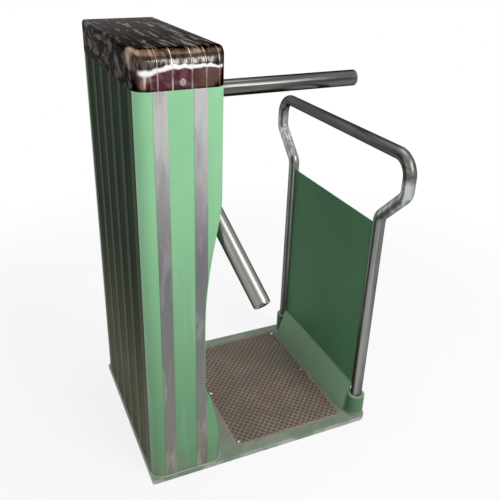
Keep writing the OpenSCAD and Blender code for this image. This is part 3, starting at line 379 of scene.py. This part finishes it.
def arm_steel(name, direction, painted_light_share, painted_light_grey, dull):
    """Polished tube with lengthwise polishing lines, bright in places, painted brighter or darker per arm
    as painted reflection, and dark at grazing view.
    """
    paint = Paint(name)
    run = paint.along(direction)
    line = paint.noise(0.0035, 4.0, (1.0, 1.0, 60.0), place=run)
    broad = paint.noise(0.016, 2.0, (1.0, 1.0, 30.0), place=run)
    cloud = paint.noise(0.05, 4.0)
    colour = paint.mix(paint.between(broad, 0.40, 0.62), (0.085, 0.083, 0.078), (0.34, 0.335, 0.325))
    colour = paint.mix(paint.between(line, 0.45, 0.7) * 0.3, colour, (0.50, 0.50, 0.48))
    colour = paint.mix(paint.between(cloud, 0.5, 0.75) * 0.4, colour, (0.17, 0.165, 0.155))
    # Painted reflection: each arm is drawn toward its own grey, bright for the front arm and dark for the
    # others
    colour = paint.mix(painted_light_share, colour, (painted_light_grey, painted_light_grey * 0.98, painted_light_grey * 0.92))
    shine = dull + 0.12 * paint.between(cloud, 0.45, 0.8) + 0.05 * line
    return paint.finish(colour, shine, 1.0, height=line, depth=0.00003, specular_tint=EDGE_TINT)


def rail_steel():
    """Drawn tube with a lengthwise grain, painted dark along its crown as painted reflection and painted
    bright at its knees as a painted highlight.
    """
    paint = Paint("rail_steel")
    upright = paint.between(paint.z, 0.80, 0.77)
    grains = []
    for size in (0.003, 0.013):
        legs = paint.noise(size, 3.0, (1.0, 1.0, 40.0))
        crown = paint.noise(size, 3.0, (1.0, 40.0, 1.0))
        grains.append(legs * upright + crown * (1 - upright))
    line, broad = grains
    cloud = paint.noise(0.06, 4.0)
    colour = paint.mix(paint.between(broad, 0.38, 0.66), (0.155, 0.155, 0.150), (0.31, 0.31, 0.305))
    colour = paint.mix(paint.between(line, 0.5, 0.72) * 0.3, colour, (0.42, 0.42, 0.40))
    colour = paint.mix(paint.between(cloud, 0.5, 0.72) * 0.25, colour, (0.10, 0.098, 0.088))
    # Painted highlight on the uprights just above the knees
    painted_highlight = upright * paint.between(paint.z, 0.645, 0.70) * (0.22 + 0.38 * paint.between(broad, 0.40, 0.6))
    colour = paint.mix(painted_highlight, colour, (0.72, 0.73, 0.75))
    # Painted reflection: the crown darkened
    colour = paint.mix((1 - upright) * 0.6, colour, (0.050, 0.050, 0.048))
    return paint.finish(
        colour, 0.24 + 0.14 * cloud, 1.0, height=line, depth=0.00004, specular_tint=EDGE_TINT
    )


def strip_steel():
    """Satin trim strip, pale and warm in its upper half and darker in its lower half, as painted light and
    painted shade on either side of its bend, and stained in its lower half.
    """
    paint = Paint("strip_steel")
    grain = paint.noise(0.0012, 2.0, (1.0, 1.0, 60.0))
    stain = paint.noise(0.045, 4.0, (0.5, 0.5, 3.0), warp=0.3)
    # Painted light and painted shade: paler and brighter upward above the mid-height bend, darker below it
    upper = paint.between(paint.z, 0.606, 0.614)
    rise = paint.between(paint.z, 0.60, 1.0)
    sink = paint.between(paint.z, 0.60, 0.05)
    head = paint.mix(rise, (0.160, 0.157, 0.157), (0.520, 0.515, 0.508))
    foot = paint.mix(sink, (0.150, 0.165, 0.160), (0.195, 0.195, 0.160))
    colour = paint.mix(upper, foot, head)
    colour = paint.mix(paint.between(stain, 0.42, 0.7) * 0.45, colour, (0.22, 0.21, 0.215))
    colour = paint.mix(paint.between(stain, 0.52, 0.36) * 0.25, colour, (0.50, 0.50, 0.49))
    low = paint.between(paint.z, 0.14, 0.02) * paint.between(stain, 0.35, 0.65)
    colour = paint.mix(low * 0.6, colour, (0.11, 0.09, 0.06))
    return paint.finish(
        colour, 0.36 + 0.14 * grain, 0.3, height=grain, depth=0.00005, specular_ior_level=0.3
    )


def side_strip():
    """Bronzed trim of the outer side, darkened as painted shade like the side sheet, under the same dust.
    """
    paint = Paint("side_strip")
    grain = paint.noise(0.0012, 2.0, (1.0, 1.0, 60.0))
    stain = paint.noise(0.05, 4.0, (0.6, 0.6, 3.0))
    low = paint.between(paint.z, 0.70, 0.05)
    # Painted shade: the strip is kept dark like the shaded side sheet
    colour = paint.mix(low, (0.030, 0.040, 0.025), (0.125, 0.115, 0.078))
    colour = paint.mix(paint.between(stain, 0.35, 0.7) * 0.5, colour, (0.034, 0.034, 0.022))
    rough = 0.55 + 0.14 * grain
    return paint.finish(colour, rough, 0.05, height=grain, depth=0.00005, specular_ior_level=0.05)


def cap_steel():
    """Mirror-polished cap with painted reflection: browned nearly black, with a painted highlight band,
    wine patches as painted reflection and painted highlights on the ribs in front.
    """
    paint = Paint("cap_steel")
    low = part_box("cap_cover")[0]
    front = low.y
    across = paint.x - low.x
    rise = paint.z - (low.z + CAP_SEAT)
    streak = paint.noise(0.011, 5.0, (1.0, 9.0, 1.6), warp=0.5)
    patch = paint.noise(0.032, 5.0, (1.0, 1.6, 0.9), warp=0.8)
    drip = paint.noise(0.010, 4.0, (1.0, 1.0, 6.0), warp=0.3)
    face = paint.between(paint.y, front + 0.034, front + 0.010)
    side = paint.between(across, 0.012, 0.004)
    # Painted reflection: the near-black browns and the light streaks on the top stand for what the polished
    # steel reflects
    light = paint.between(streak, 0.53, 0.64) * paint.between(patch, 0.30, 0.55)
    colour = paint.mix(paint.between(patch, 0.38, 0.62), (0.020, 0.013, 0.009), (0.075, 0.044, 0.029))
    colour = paint.mix(light * 0.7, colour, (0.19, 0.130, 0.098))
    # Painted reflection on the left side: dark browns with tan blotches
    painted_tan_reflection = paint.between(patch, 0.48, 0.62) * paint.between(streak, 0.64, 0.48)
    colour = paint.mix(side, colour, paint.mix(painted_tan_reflection * 0.8, (0.050, 0.030, 0.017), (0.130, 0.066, 0.034)))
    # Painted highlight at the front-left corner
    painted_corner_highlight = paint.between(across, 0.016, 0.005) * paint.between(paint.y, front + 0.070, front + 0.045)
    painted_corner_highlight = painted_corner_highlight * paint.between(paint.y, front + 0.016, front + 0.034)
    painted_corner_highlight = painted_corner_highlight * paint.between(rise + 0.03 * patch, 0.050, 0.066)
    colour = paint.mix(painted_corner_highlight * 0.85, colour, (0.48, 0.35, 0.26))
    # Painted reflection on the front face: wine patches with cream drips low down, and grey higher up
    below = paint.between(rise, 0.044, 0.036)
    painted_wine_reflection = paint.mix(paint.between(patch, 0.42, 0.58), (0.090, 0.026, 0.036), (0.150, 0.075, 0.075))
    painted_wine_reflection = paint.mix(paint.between(across, 0.108, 0.150) * 0.75, painted_wine_reflection, (0.135, 0.085, 0.062))
    painted_cream_highlight = paint.between(abs(across - 0.024), 0.013, 0.003) * paint.between(drip, 0.35, 0.6)
    painted_wine_reflection = paint.mix(painted_cream_highlight, painted_wine_reflection, (0.60, 0.54, 0.50))
    painted_wine_reflection = paint.mix(paint.between(across, 0.015, 0.006), painted_wine_reflection, (0.030, 0.022, 0.020))
    grey = paint.mix(paint.between(drip, 0.40, 0.62), (0.018, 0.015, 0.013), (0.095, 0.088, 0.084))
    fade = paint.between(rise, 0.074, 0.052)
    colour = paint.mix(face * fade, colour, grey)
    colour = paint.mix(face * below, colour, painted_wine_reflection)
    # Painted highlight: the bright band along the front bend
    middle = 0.0355 + 0.009 * paint.between(across, 0.02, 0.075) - 0.003 * paint.between(across, 0.10, 0.18)
    middle = middle + 0.012 * (patch - 0.5) + 0.005 * (drip - 0.5)
    painted_highlight_band = paint.between(abs(rise - middle), 0.0080 - 0.024 * across, 0.0015)
    painted_highlight_band = painted_highlight_band * paint.between(across, 0.006, 0.016) * paint.between(across, 0.190, 0.178)
    colour = paint.mix(face * painted_highlight_band * 0.95, colour, (1.0, 0.99, 0.97))
    hem = paint.between(rise, 0.007, 0.002)
    colour = paint.mix(hem * 0.8, colour, (0.030, 0.022, 0.018))
    ribs = 0.0
    for rib, strength in ((0.046, 0.7), (0.076, 1.0), (0.116, 0.9), (0.146, 0.8), (0.175, 0.7)):
        ribs = ribs + strength * paint.between(abs(across - rib), 0.0022, 0.0004)
    # Painted highlights along the ribs
    painted_rib_highlights = ribs * (0.25 + 0.65 * paint.between(streak, 0.35, 0.65))
    colour = paint.mix(painted_rib_highlights, colour, paint.mix(face, (0.30, 0.26, 0.23), (0.62, 0.57, 0.54)))
    dull = (light * (1 - side) + (0.2 + 0.7 * painted_tan_reflection) * side + painted_corner_highlight) * (1 - face)
    return paint.finish(
        colour,
        0.12 + 0.14 * streak,
        1 - 0.65 * dull,
        height=ribs + streak * 0.10,
        depth=0.0008,
        specular_ior_level=0.02,
        specular_tint=(0.045, 0.030, 0.021, 1.0),
    )


def plain_steel(name, colour, rough, grain=0.002, metallic=1.0):
    """Machined or plated steel with fine tool marks and light tarnish."""
    paint = Paint(name)
    fine = paint.noise(grain, 3.0)
    cloud = paint.noise(0.02, 3.0)
    dark = tuple(channel * 0.72 for channel in colour)
    mixed = paint.mix(paint.between(cloud, 0.35, 0.7) * 0.6, colour, dark)
    return paint.finish(mixed, rough + 0.1 * cloud, metallic, height=fine, depth=0.00005)


def grained(name, colour, rough, size=0.0012):
    """Moulded plastic or sealant with a fine grain and dust."""
    paint = Paint(name)
    fine = paint.noise(size, 2.0)
    dust = paint.noise(0.03, 4.0)
    dusty = tuple(channel + 0.12 for channel in colour)
    mixed = paint.mix(paint.between(dust, 0.5, 0.75) * 0.25, colour, dusty)
    return paint.finish(mixed, rough + 0.12 * dust, height=fine, depth=0.0001)


FINISHES = {
    "platform_paint": platform_paint,
    "tread": tread_steel,
    "kick_paint": kick_paint,
    "panel_paint": panel_paint,
    "cabinet_paint": cabinet_paint,
    "side_paint": side_paint,
    "strip_steel": strip_steel,
    "side_strip": side_strip,
    "cap_chrome": cap_steel,
    "rail_tube": rail_steel,
    "arm_steel": lambda: arm_steel("arm_steel", (0.7071, 0.0, -0.7071), 0.0, 0.045, 0.13),
    "zinc_screws": lambda: plain_steel("zinc_plate", (0.60, 0.60, 0.57), 0.30),
    "lock_metal": lambda: plain_steel("lock_metal", (0.42, 0.36, 0.35), 0.22),
    "machined_steel": lambda: plain_steel("machined_steel", (0.58, 0.58, 0.58), 0.26),
    "frame_steel": lambda: plain_steel("frame_primer", (0.10, 0.11, 0.12), 0.5, 0.003, 0.2),
    "cast_housing": lambda: plain_steel("cast_housing", (0.22, 0.23, 0.24), 0.5, 0.0015, 0.6),
    "hub_iron": lambda: plain_steel("hub_casting", (0.34, 0.34, 0.34), 0.36, 0.0015, 0.9),
    "gear_brass": lambda: plain_steel("gear_brass", (0.62, 0.48, 0.22), 0.28),
    "supply_case": lambda: plain_steel("supply_case", (0.55, 0.56, 0.57), 0.35),
    "black_plastic": lambda: grained("black_plastic", (0.028, 0.028, 0.030), 0.42),
    "box_plastic": lambda: grained("box_plastic", (0.50, 0.50, 0.47), 0.45),
    "sealant": lambda: grained("foot_sealant", (0.46, 0.49, 0.41), 0.55),
}
made_finishes = {}
finished_nodes = set()


def finish_of(slot):
    """The finish for a material slot of the record, made once."""
    if slot not in made_finishes:
        made_finishes[slot] = FINISHES[slot]()
    return made_finishes[slot]


# Making and placing pieces


def placed(form, name, body, slot, *nodes, smooth=SMOOTH_ANGLE, edge=0.0, finish=None):
    """Turns a bmesh into a piece on a body, in place of the nodes named."""
    for face in form.faces:
        face.smooth = True
    for line in form.edges:
        line.smooth = len(line.link_faces) == 2 and line.calc_face_angle(0.0) < math.radians(smooth)
    mesh = bpy.data.meshes.new(name)
    form.to_mesh(mesh)
    form.free()
    piece = bpy.data.objects.new(name, mesh)
    bpy.context.scene.collection.objects.link(piece)
    mesh.materials.append(finish or finish_of(slot))
    if edge:
        bevel = piece.modifiers.new("Edges", "BEVEL")
        bevel.width = edge
        bevel.segments = 2
        bevel.limit_method = "ANGLE"
        bevel.angle_limit = math.radians(smooth)
        bevel.harden_normals = True
    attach(piece, body)
    if nodes:
        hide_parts(*nodes)
        finished_nodes.update(nodes)
    return piece


def dressed(node, edge=0.0006, smooth=SMOOTH_ANGLE):
    """A merged copy of a node with smooth curves and rounded edges, in the node's place."""
    source = frame["nodes"][node]
    form = bmesh.new()
    form.from_mesh(source.data)
    bmesh.ops.remove_doubles(form, verts=form.verts, dist=MERGE_GAP)
    flat = math.radians(FLAT_ANGLE)
    bmesh.ops.dissolve_limit(form, angle_limit=flat, verts=form.verts, edges=form.edges)
    return placed(form, node + "_skin", source["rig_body"], SUBPARTS[node], node, smooth=smooth, edge=edge)


def painted(node):
    """Gives a node that keeps its own shape its finish."""
    part = frame["nodes"][node]
    part.data.materials.clear()
    part.data.materials.append(finish_of(SUBPARTS[node]))
    finished_nodes.add(node)


def turned(form, outline, place):
    """Spins an outline of radii and heights, in metres, into a closed turned piece."""
    others = set(form.verts)
    verts = [form.verts.new((radius, 0.0, height)) for radius, height in outline]
    lines = [form.edges.new(pair) for pair in zip(verts, verts[1:])]
    bmesh.ops.spin(
        form,
        geom=verts + lines,
        cent=(0, 0, 0),
        axis=(0, 0, 1),
        angle=math.tau,
        steps=TURN_STEPS,
        use_merge=True,
    )
    bmesh.ops.remove_doubles(form, verts=[v for v in form.verts if v not in others], dist=1e-6)
    new = [v for v in form.verts if v not in others]
    bmesh.ops.recalc_face_normals(form, faces=list({face for v in new for face in v.link_faces}))
    bmesh.ops.transform(form, matrix=place, verts=new)


def straight(form, loop, travel):
    """Draws a tube's open end out along a straight and returns the new end."""
    moved = bmesh.ops.extrude_edge_only(form, edges=loop)["geom"]
    verts = [item for item in moved if isinstance(item, bmesh.types.BMVert)]
    lines = [item for item in moved if isinstance(item, bmesh.types.BMEdge)]
    bmesh.ops.translate(form, verts=verts, vec=travel)
    return [line for line in lines if all(vert in verts for vert in line.verts)]


def bend(form, loop, centre, degrees, steps):
    """Swings a tube's open end about an axis along X and returns the new end."""
    verts = list({v for line in loop for v in line.verts})
    swung = bmesh.ops.spin(
        form,
        geom=verts + loop,
        cent=centre,
        axis=(1, 0, 0),
        angle=math.radians(degrees),
        steps=steps,
        use_merge=False,
    )["geom_last"]
    return [item for item in swung if isinstance(item, bmesh.types.BMEdge)]


def block(form, low, high):
    """Adds a box between two corners."""
    low, high = Vector(low), Vector(high)
    size = high - low
    matrix = Matrix.Translation((low + high) / 2) @ Matrix.Diagonal((*size, 1.0))
    bmesh.ops.create_cube(form, size=1.0, matrix=matrix)


def rotor_place():
    """The rotor's own frame: Z runs out along the rotor axis from the arms' meeting point."""
    joint = next(j for j in frame["joints"] if j["name"] == "rotor_turn")
    return Matrix.Translation(joint["pos_m"]) @ Matrix.Rotation(math.radians(ROTOR_TILT), 4, "Y")


def arm_place(index):
    """An arm's own frame: Z runs along the arm from the meeting point."""
    turn = Matrix.Rotation(math.radians(180 + ARM_TURN * index), 4, "Z")
    return rotor_place() @ turn @ Matrix.Rotation(math.radians(ARM_SPLAY), 4, "Y")


# Operators


class TURNSTILE_OT_platform(bpy.types.Operator):
    """Finish the platform frame, the tread, the kerb plate and their screws"""

    bl_idname = "turnstile.platform"
    bl_label = "Platform"

    def execute(self, context):
        dressed("base_frame", 0.0012)
        dressed("kick_plate", 0.0008)
        self.tread(context.scene.turnstile_sizes.tread_pitch)
        for node in ("tread_screws", "kick_screws", "foot_seal"):
            dressed(node, 0.0004)
        return {"FINISHED"}

    def tread(self, pitch):
        """A plate of diagonal pockets between plain bars, with a flat rim."""
        low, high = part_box("tread_plate")
        middle = (low + high) / 2
        rim = TREAD_RIM
        count = int(TREAD_GRID / pitch)
        form = bmesh.new()
        place = Matrix.Translation((middle.x, middle.y, high.z)) @ Matrix.Rotation(math.radians(45), 4, "Z")
        bmesh.ops.create_grid(
            form, x_segments=count, y_segments=count, size=count * pitch / 2, matrix=place
        )
        bmesh.ops.inset_individual(
            form, faces=form.faces, thickness=pitch * 0.26, depth=-TREAD_POCKET_DEPTH
        )
        limits = (
            ((low.x + rim, 0, 0), (-1, 0, 0)),
            ((high.x - rim, 0, 0), (1, 0, 0)),
            ((0, low.y + rim, 0), (0, -1, 0)),
            ((0, high.y - rim, 0), (0, 1, 0)),
        )
        for point, outward in limits:
            geometry = form.verts[:] + form.edges[:] + form.faces[:]
            bmesh.ops.bisect_plane(form, geom=geometry, plane_co=point, plane_no=outward, clear_outer=True)
        for first, second in (
            (low, (high.x, low.y + rim, high.z)),
            ((low.x, high.y - rim, low.z), high),
            ((low.x, low.y + rim, low.z), (low.x + rim, high.y - rim, high.z)),
            ((high.x - rim, low.y + rim, low.z), (high.x, high.y - rim, high.z)),
            ((low.x + rim, low.y + rim, low.z), (high.x - rim, high.y - rim, low.z + 0.001)),
        ):
            block(form, first, second)
        placed(form, "tread_pattern", "cabinet", "tread", "tread_plate", smooth=25.0)


class TURNSTILE_OT_guard_rail(bpy.types.Operator):
    """Bend the guard rail's tube and finish its sockets and infill panel"""

    bl_idname = "turnstile.guard_rail"
    bl_label = "Guard Rail"

    def execute(self, context):
        self.tube()
        for node in ("front_socket", "rear_socket"):
            dressed(node, 0.0012)
        for node in ("rail_panel", "panel_tabs", "panel_rivets", "socket_screws"):
            dressed(node, 0.0004)
        return {"FINISHED"}

    def tube(self):
        """One tube from the front socket, out, over the top and down into the rear one."""
        low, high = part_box("guard_rail")
        plane = (low.x + high.x) / 2
        leg, knee, crown, knee_z = RAIL_LEG_Y, RAIL_KNEE_BEND, RAIL_CROWN_BEND, RAIL_KNEE_Z
        outer = high.y - RAIL_RADIUS - RAIL_SIDE_GAP
        top = high.z - RAIL_RADIUS
        out = knee * (1 - math.cos(math.radians(KNEE_ANGLE)))
        rise = knee * math.sin(math.radians(KNEE_ANGLE))
        run = outer - leg - 2 * out
        upper = knee_z + 2 * rise + run
        form = bmesh.new()
        start = Matrix.Translation((plane, -leg, low.z))
        bmesh.ops.create_circle(
            form, cap_ends=True, radius=RAIL_RADIUS, segments=RAIL_SEGMENTS, matrix=start
        )
        loop = list(form.edges)
        loop = straight(form, loop, (0, 0, knee_z - low.z))
        loop = bend(form, loop, (plane, -leg - knee, knee_z), KNEE_ANGLE, KNEE_STEPS)
        loop = straight(form, loop, (0, -run, run))
        loop = bend(form, loop, (plane, -outer + knee, upper), -KNEE_ANGLE, KNEE_STEPS)
        loop = straight(form, loop, (0, 0, top - crown - upper))
        loop = bend(form, loop, (plane, -outer + crown, top - crown), -CROWN_ANGLE, CROWN_STEPS)
        loop = straight(form, loop, (0, 2 * (outer - crown), 0))
        loop = bend(form, loop, (plane, outer - crown, top - crown), -CROWN_ANGLE, CROWN_STEPS)
        loop = straight(form, loop, (0, 0, upper - top + crown))
        loop = bend(form, loop, (plane, outer - knee, upper), -KNEE_ANGLE, KNEE_STEPS)
        loop = straight(form, loop, (0, -run, -run))
        loop = bend(form, loop, (plane, leg + knee, knee_z), KNEE_ANGLE, KNEE_STEPS)
        loop = straight(form, loop, (0, 0, low.z - knee_z))
        bmesh.ops.holes_fill(form, edges=loop)
        bmesh.ops.remove_doubles(form, verts=form.verts, dist=1e-6)
        bmesh.ops.recalc_face_normals(form, faces=form.faces)
        placed(form, "guard_rail_tube", "cabinet", "rail_tube", "guard_rail")


class TURNSTILE_OT_cabinet(bpy.types.Operator):
    """Finish the cabinet's sheets and its trim strips"""

    bl_idname = "turnstile.cabinet"
    bl_label = "Cabinet"

    def execute(self, context):
        for node in ("front_cover", "rear_cover", "passage_panel"):
            dressed(node, 0.0, 24.0)
        dressed("side_panel", 0.0)
        for node in ("front_trim", "rear_trim", "side_trim"):
            dressed(node, 0.0005)
        for node in ("cover_screws", "panel_screws"):
            painted(node)
        return {"FINISHED"}


class TURNSTILE_OT_cap(bpy.types.Operator):
    """Press the polished cap with its rounded edges and fit its lock"""

    bl_idname = "turnstile.cap"
    bl_label = "Cap"

    def execute(self, context):
        self.cover()
        dressed("cap_lock_barrel", 0.0004)
        for node in ("cap_lock_cam", "lock_strike"):
            painted(node)
        return {"FINISHED"}

    def cover(self):
        """A drawn sheet cap, open below, with a locating lip that sits inside the cabinet."""
        low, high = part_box("cap_cover")
        seat = low.z + CAP_SEAT
        middle = (low + high) / 2
        widest = CAP_FRONT_EDGE_BEND
        form = bmesh.new()
        share = form.edges.layers.float.new("bevel_weight_edge")
        for inset, bottom, top in ((0.0, seat, high.z), (CAP_LIP_INSET, low.z, seat + CAP_LIP_OVERLAP)):
            others = set(form.edges)
            block(form, (low.x + inset, low.y + inset, bottom), (high.x - inset, high.y - inset, top))
            for line in (line for line in form.edges if line not in others):
                first, second = (vert.co for vert in line.verts)
                forward = max(first.y, second.y) < middle.y
                if first.z != second.z:
                    radius = CAP_FRONT_UPRIGHT_BEND if forward else CAP_REAR_UPRIGHT_BEND
                    line[share] = (radius - inset) / widest
                elif first.z > middle.z:
                    line[share] = (widest if forward else CAP_TOP_EDGE_BEND) / widest
        heights = {face: {vert.co.z for vert in face.verts} for face in form.faces}
        level = [face for face, found in heights.items() if len(found) == 1 and max(found) < middle.z]
        bmesh.ops.delete(form, geom=level, context="FACES_ONLY")
        piece = placed(form, "cap_shell", "cap", "cap_chrome", "cap_cover", smooth=40.0)
        bends = piece.modifiers.new("Bends", "BEVEL")
        bends.limit_method = "WEIGHT"
        bends.width = widest
        bends.segments = 12
        sheet = piece.modifiers.new("Sheet", "SOLIDIFY")
        sheet.thickness = CAP_SHEET
        sheet.offset = -1.0


class TURNSTILE_OT_tripod(bpy.types.Operator):
    """Turn the three polished arms with their end plugs and finish the hub"""

    bl_idname = "turnstile.tripod"
    bl_label = "Tripod"

    def execute(self, context):
        low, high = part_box("level_arm")
        radius = (high.z - low.z) / 2
        rim = ARM_TIP - PLUG_DOME - PLUG_RIM
        edge = radius - PLUG_GAP
        tube = [
            (0.0, ARM_ROOT),
            (radius, ARM_ROOT),
            (radius, ARM_ROOT + ARM_SOCKET),
            (radius, (ARM_ROOT + rim) / 2),
            (radius, rim - ARM_CHAMFER),
            (radius - ARM_CHAMFER, rim),
            (radius - ARM_CHAMFER, rim + ARM_MOUTH),
            (0.0, rim + ARM_MOUTH),
        ]
        plug = [
            (0.0, rim - PLUG_GAP),
            (edge - 0.001, rim - PLUG_GAP),
            (edge, rim + 0.0006),
            (edge, rim + 0.0028),
            (edge - 0.001, rim + 0.0046),
            (radius * 0.75, rim + 0.0066),
            (radius * 0.45, rim + 0.0081),
            (0.0, rim + 0.0088),
        ]
        plugs = bmesh.new()
        for index, (node, look) in enumerate(ARM_PAINTED_LIGHT_AND_ROUGHNESS.items()):
            place = arm_place(index)
            form = bmesh.new()
            turned(form, tube, place)
            turned(plugs, plug, place)
            steel = arm_steel(node + "_steel", place.to_3x3() @ Vector((0, 0, 1)), *look)
            placed(form, node + "_tube", "rotor", "arm_steel", node, finish=steel)
        placed(plugs, "arm_end_plugs", "rotor", "arm_steel", "arm_plugs")
        dressed("hub", 0.0012, 35.0)
        dressed("hub_cap", 0.0004)
        for node in ("hub_nut", "arm_screws"):
            painted(node)
        return {"FINISHED"}


class TURNSTILE_OT_mechanism(bpy.types.Operator):
    """Finish the pieces inside the cabinet"""

    bl_idname = "turnstile.mechanism"
    bl_label = "Mechanism"

    def execute(self, context):
        for node in frame["nodes"]:
            if node not in finished_nodes:
                painted(node)
        return {"FINISHED"}


class TURNSTILE_OT_studio(bpy.types.Operator):
    """Set up the pale floor, the soft lamps and the camera"""

    bl_idname = "turnstile.studio"
    bl_label = "Studio"

    def execute(self, context):
        scene = context.scene
        form = bmesh.new()
        bmesh.ops.create_grid(form, x_segments=1, y_segments=1, size=FLOOR_HALF)
        mesh = bpy.data.meshes.new("floor")
        form.to_mesh(mesh)
        form.free()
        floor = bpy.data.objects.new("floor", mesh)
        scene.collection.objects.link(floor)
        mesh.materials.append(self.floor_finish())
        for name, values in LAMPS.items():
            self.lamp(name, *values)
        self.world()
        camera = bpy.data.objects.new("camera", bpy.data.cameras.new("camera"))
        scene.collection.objects.link(camera)
        camera.data.lens = scene.turnstile_sizes.lens
        camera.data.sensor_width = SENSOR_MM
        camera.data.shift_x, camera.data.shift_y = CAMERA_SHIFT
        camera.data.clip_end = 60.0
        turn = (
            Matrix.Rotation(-CAMERA_YAW, 4, "Z")
            @ Matrix.Rotation(math.pi / 2 - CAMERA_PITCH, 4, "X")
            @ Matrix.Rotation(CAMERA_ROLL, 4, "Z")
        )
        camera.matrix_world = Matrix.Translation(CAMERA_PLACE) @ turn
        scene.camera = camera
        scene.view_settings.view_transform = "Standard"
        return {"FINISHED"}

    def floor_finish(self):
        """Pale matte floor with the object's shadow, fading to white where it is seen far off."""
        paint = Paint("studio_floor")
        cloud = paint.noise(0.4, 3.0)
        colour = paint.mix(cloud * 0.2, (0.86, 0.86, 0.86), (0.82, 0.82, 0.82))
        floor = paint.surface(colour, 0.8, specular_ior_level=0.2)
        white = paint.node("ShaderNodeEmission", {}, {"Strength": 1.0})
        far = paint.between(paint.x * paint.x + paint.y * paint.y, 0.5, 3.5)
        faded = paint.blend(paint.seen() * (0.82 + 0.18 * far), floor, white)
        paint.show("ShaderNodeOutputMaterial", faded)
        return paint.material

    def lamp(self, name, place, target, size, power, colour):
        """A square soft lamp turned to its target."""
        light = bpy.data.lights.new(name, "AREA")
        light.size = size
        light.energy = power
        light.color = colour
        lamp = bpy.data.objects.new(name, light)
        bpy.context.scene.collection.objects.link(lamp)
        lamp.location = place
        lamp.rotation_euler = (Vector(target) - Vector(place)).to_track_quat("-Z", "Y").to_euler()

    def world(self):
        """Soft grey room light, white where the camera or a reflection sees it."""
        world = bpy.data.worlds.new("studio")
        bpy.context.scene.world = world
        sky = Shader(world)
        room, white = (
            sky.node("ShaderNodeBackground", {}, {"Color": (*colour, 1.0), "Strength": strength})
            for colour, strength in ((COOL_WHITE, ROOM_LIGHT), (WHITE, 1.0))
        )
        sky.show("ShaderNodeOutputWorld", sky.blend(sky.seen(), room, white))


# Settings and panel


class TurnstileSizes(bpy.types.PropertyGroup):
    """Sizes that can be changed before the pieces are made"""

    tread_pitch: bpy.props.FloatProperty(
        name="Tread Pitch",
        description="Distance between the tread's diagonal bars",
        default=0.0135,
        min=0.006,
        max=0.03,
        subtype="DISTANCE",
        unit="LENGTH",
    )
    lens: bpy.props.FloatProperty(
        name="Lens",
        description="Focal length of the camera in millimetres",
        default=43.68,
        min=20.0,
        max=120.0,
    )


class TurnstileFinish(bpy.types.PropertyGroup):
    """Colours that can be changed before the pieces are made"""

    # The step from the head green to the foot green is partly painted light and painted shade, partly dirt
    head_green_and_light: bpy.props.FloatVectorProperty(
        name="Head Green",
        description="Paint at the top of the cabinet",
        default=(0.29, 0.62, 0.335),
        subtype="COLOR",
        min=0.0,
        max=1.0,
    )
    foot_green_and_shade: bpy.props.FloatVectorProperty(
        name="Foot Green",
        description="Paint at the foot of the cabinet",
        default=(0.108, 0.245, 0.125),
        subtype="COLOR",
        min=0.0,
        max=1.0,
    )


class TURNSTILE_PT_panel(bpy.types.Panel):
    """The settings and one button for each step"""

    bl_idname = "TURNSTILE_PT_panel"
    bl_label = "Turnstile"
    bl_space_type = "VIEW_3D"
    bl_region_type = "UI"
    bl_category = "Turnstile"

    def draw(self, context):
        for group in (context.scene.turnstile_sizes, context.scene.turnstile_finish):
            for name in group.bl_rna.properties.keys():
                if name not in {"rna_type", "name"}:
                    self.layout.prop(group, name)
        for step in STEPS:
            self.layout.operator(step.bl_idname)


STEPS = (
    TURNSTILE_OT_platform,
    TURNSTILE_OT_guard_rail,
    TURNSTILE_OT_cabinet,
    TURNSTILE_OT_cap,
    TURNSTILE_OT_tripod,
    TURNSTILE_OT_mechanism,
    TURNSTILE_OT_studio,
)
CLASSES = (TurnstileSizes, TurnstileFinish, *STEPS, TURNSTILE_PT_panel)


def register():
    for item in CLASSES:
        bpy.utils.register_class(item)
    bpy.types.Scene.turnstile_sizes = bpy.props.PointerProperty(type=TurnstileSizes)
    bpy.types.Scene.turnstile_finish = bpy.props.PointerProperty(type=TurnstileFinish)


def unregister():
    del bpy.types.Scene.turnstile_finish
    del bpy.types.Scene.turnstile_sizes
    for item in reversed(CLASSES):
        bpy.utils.unregister_class(item)


def main():
    register()
    for step in STEPS:
        group, name = step.bl_idname.split(".")
        getattr(getattr(bpy.ops, group), name)()


if __name__ == "__main__":
    main()
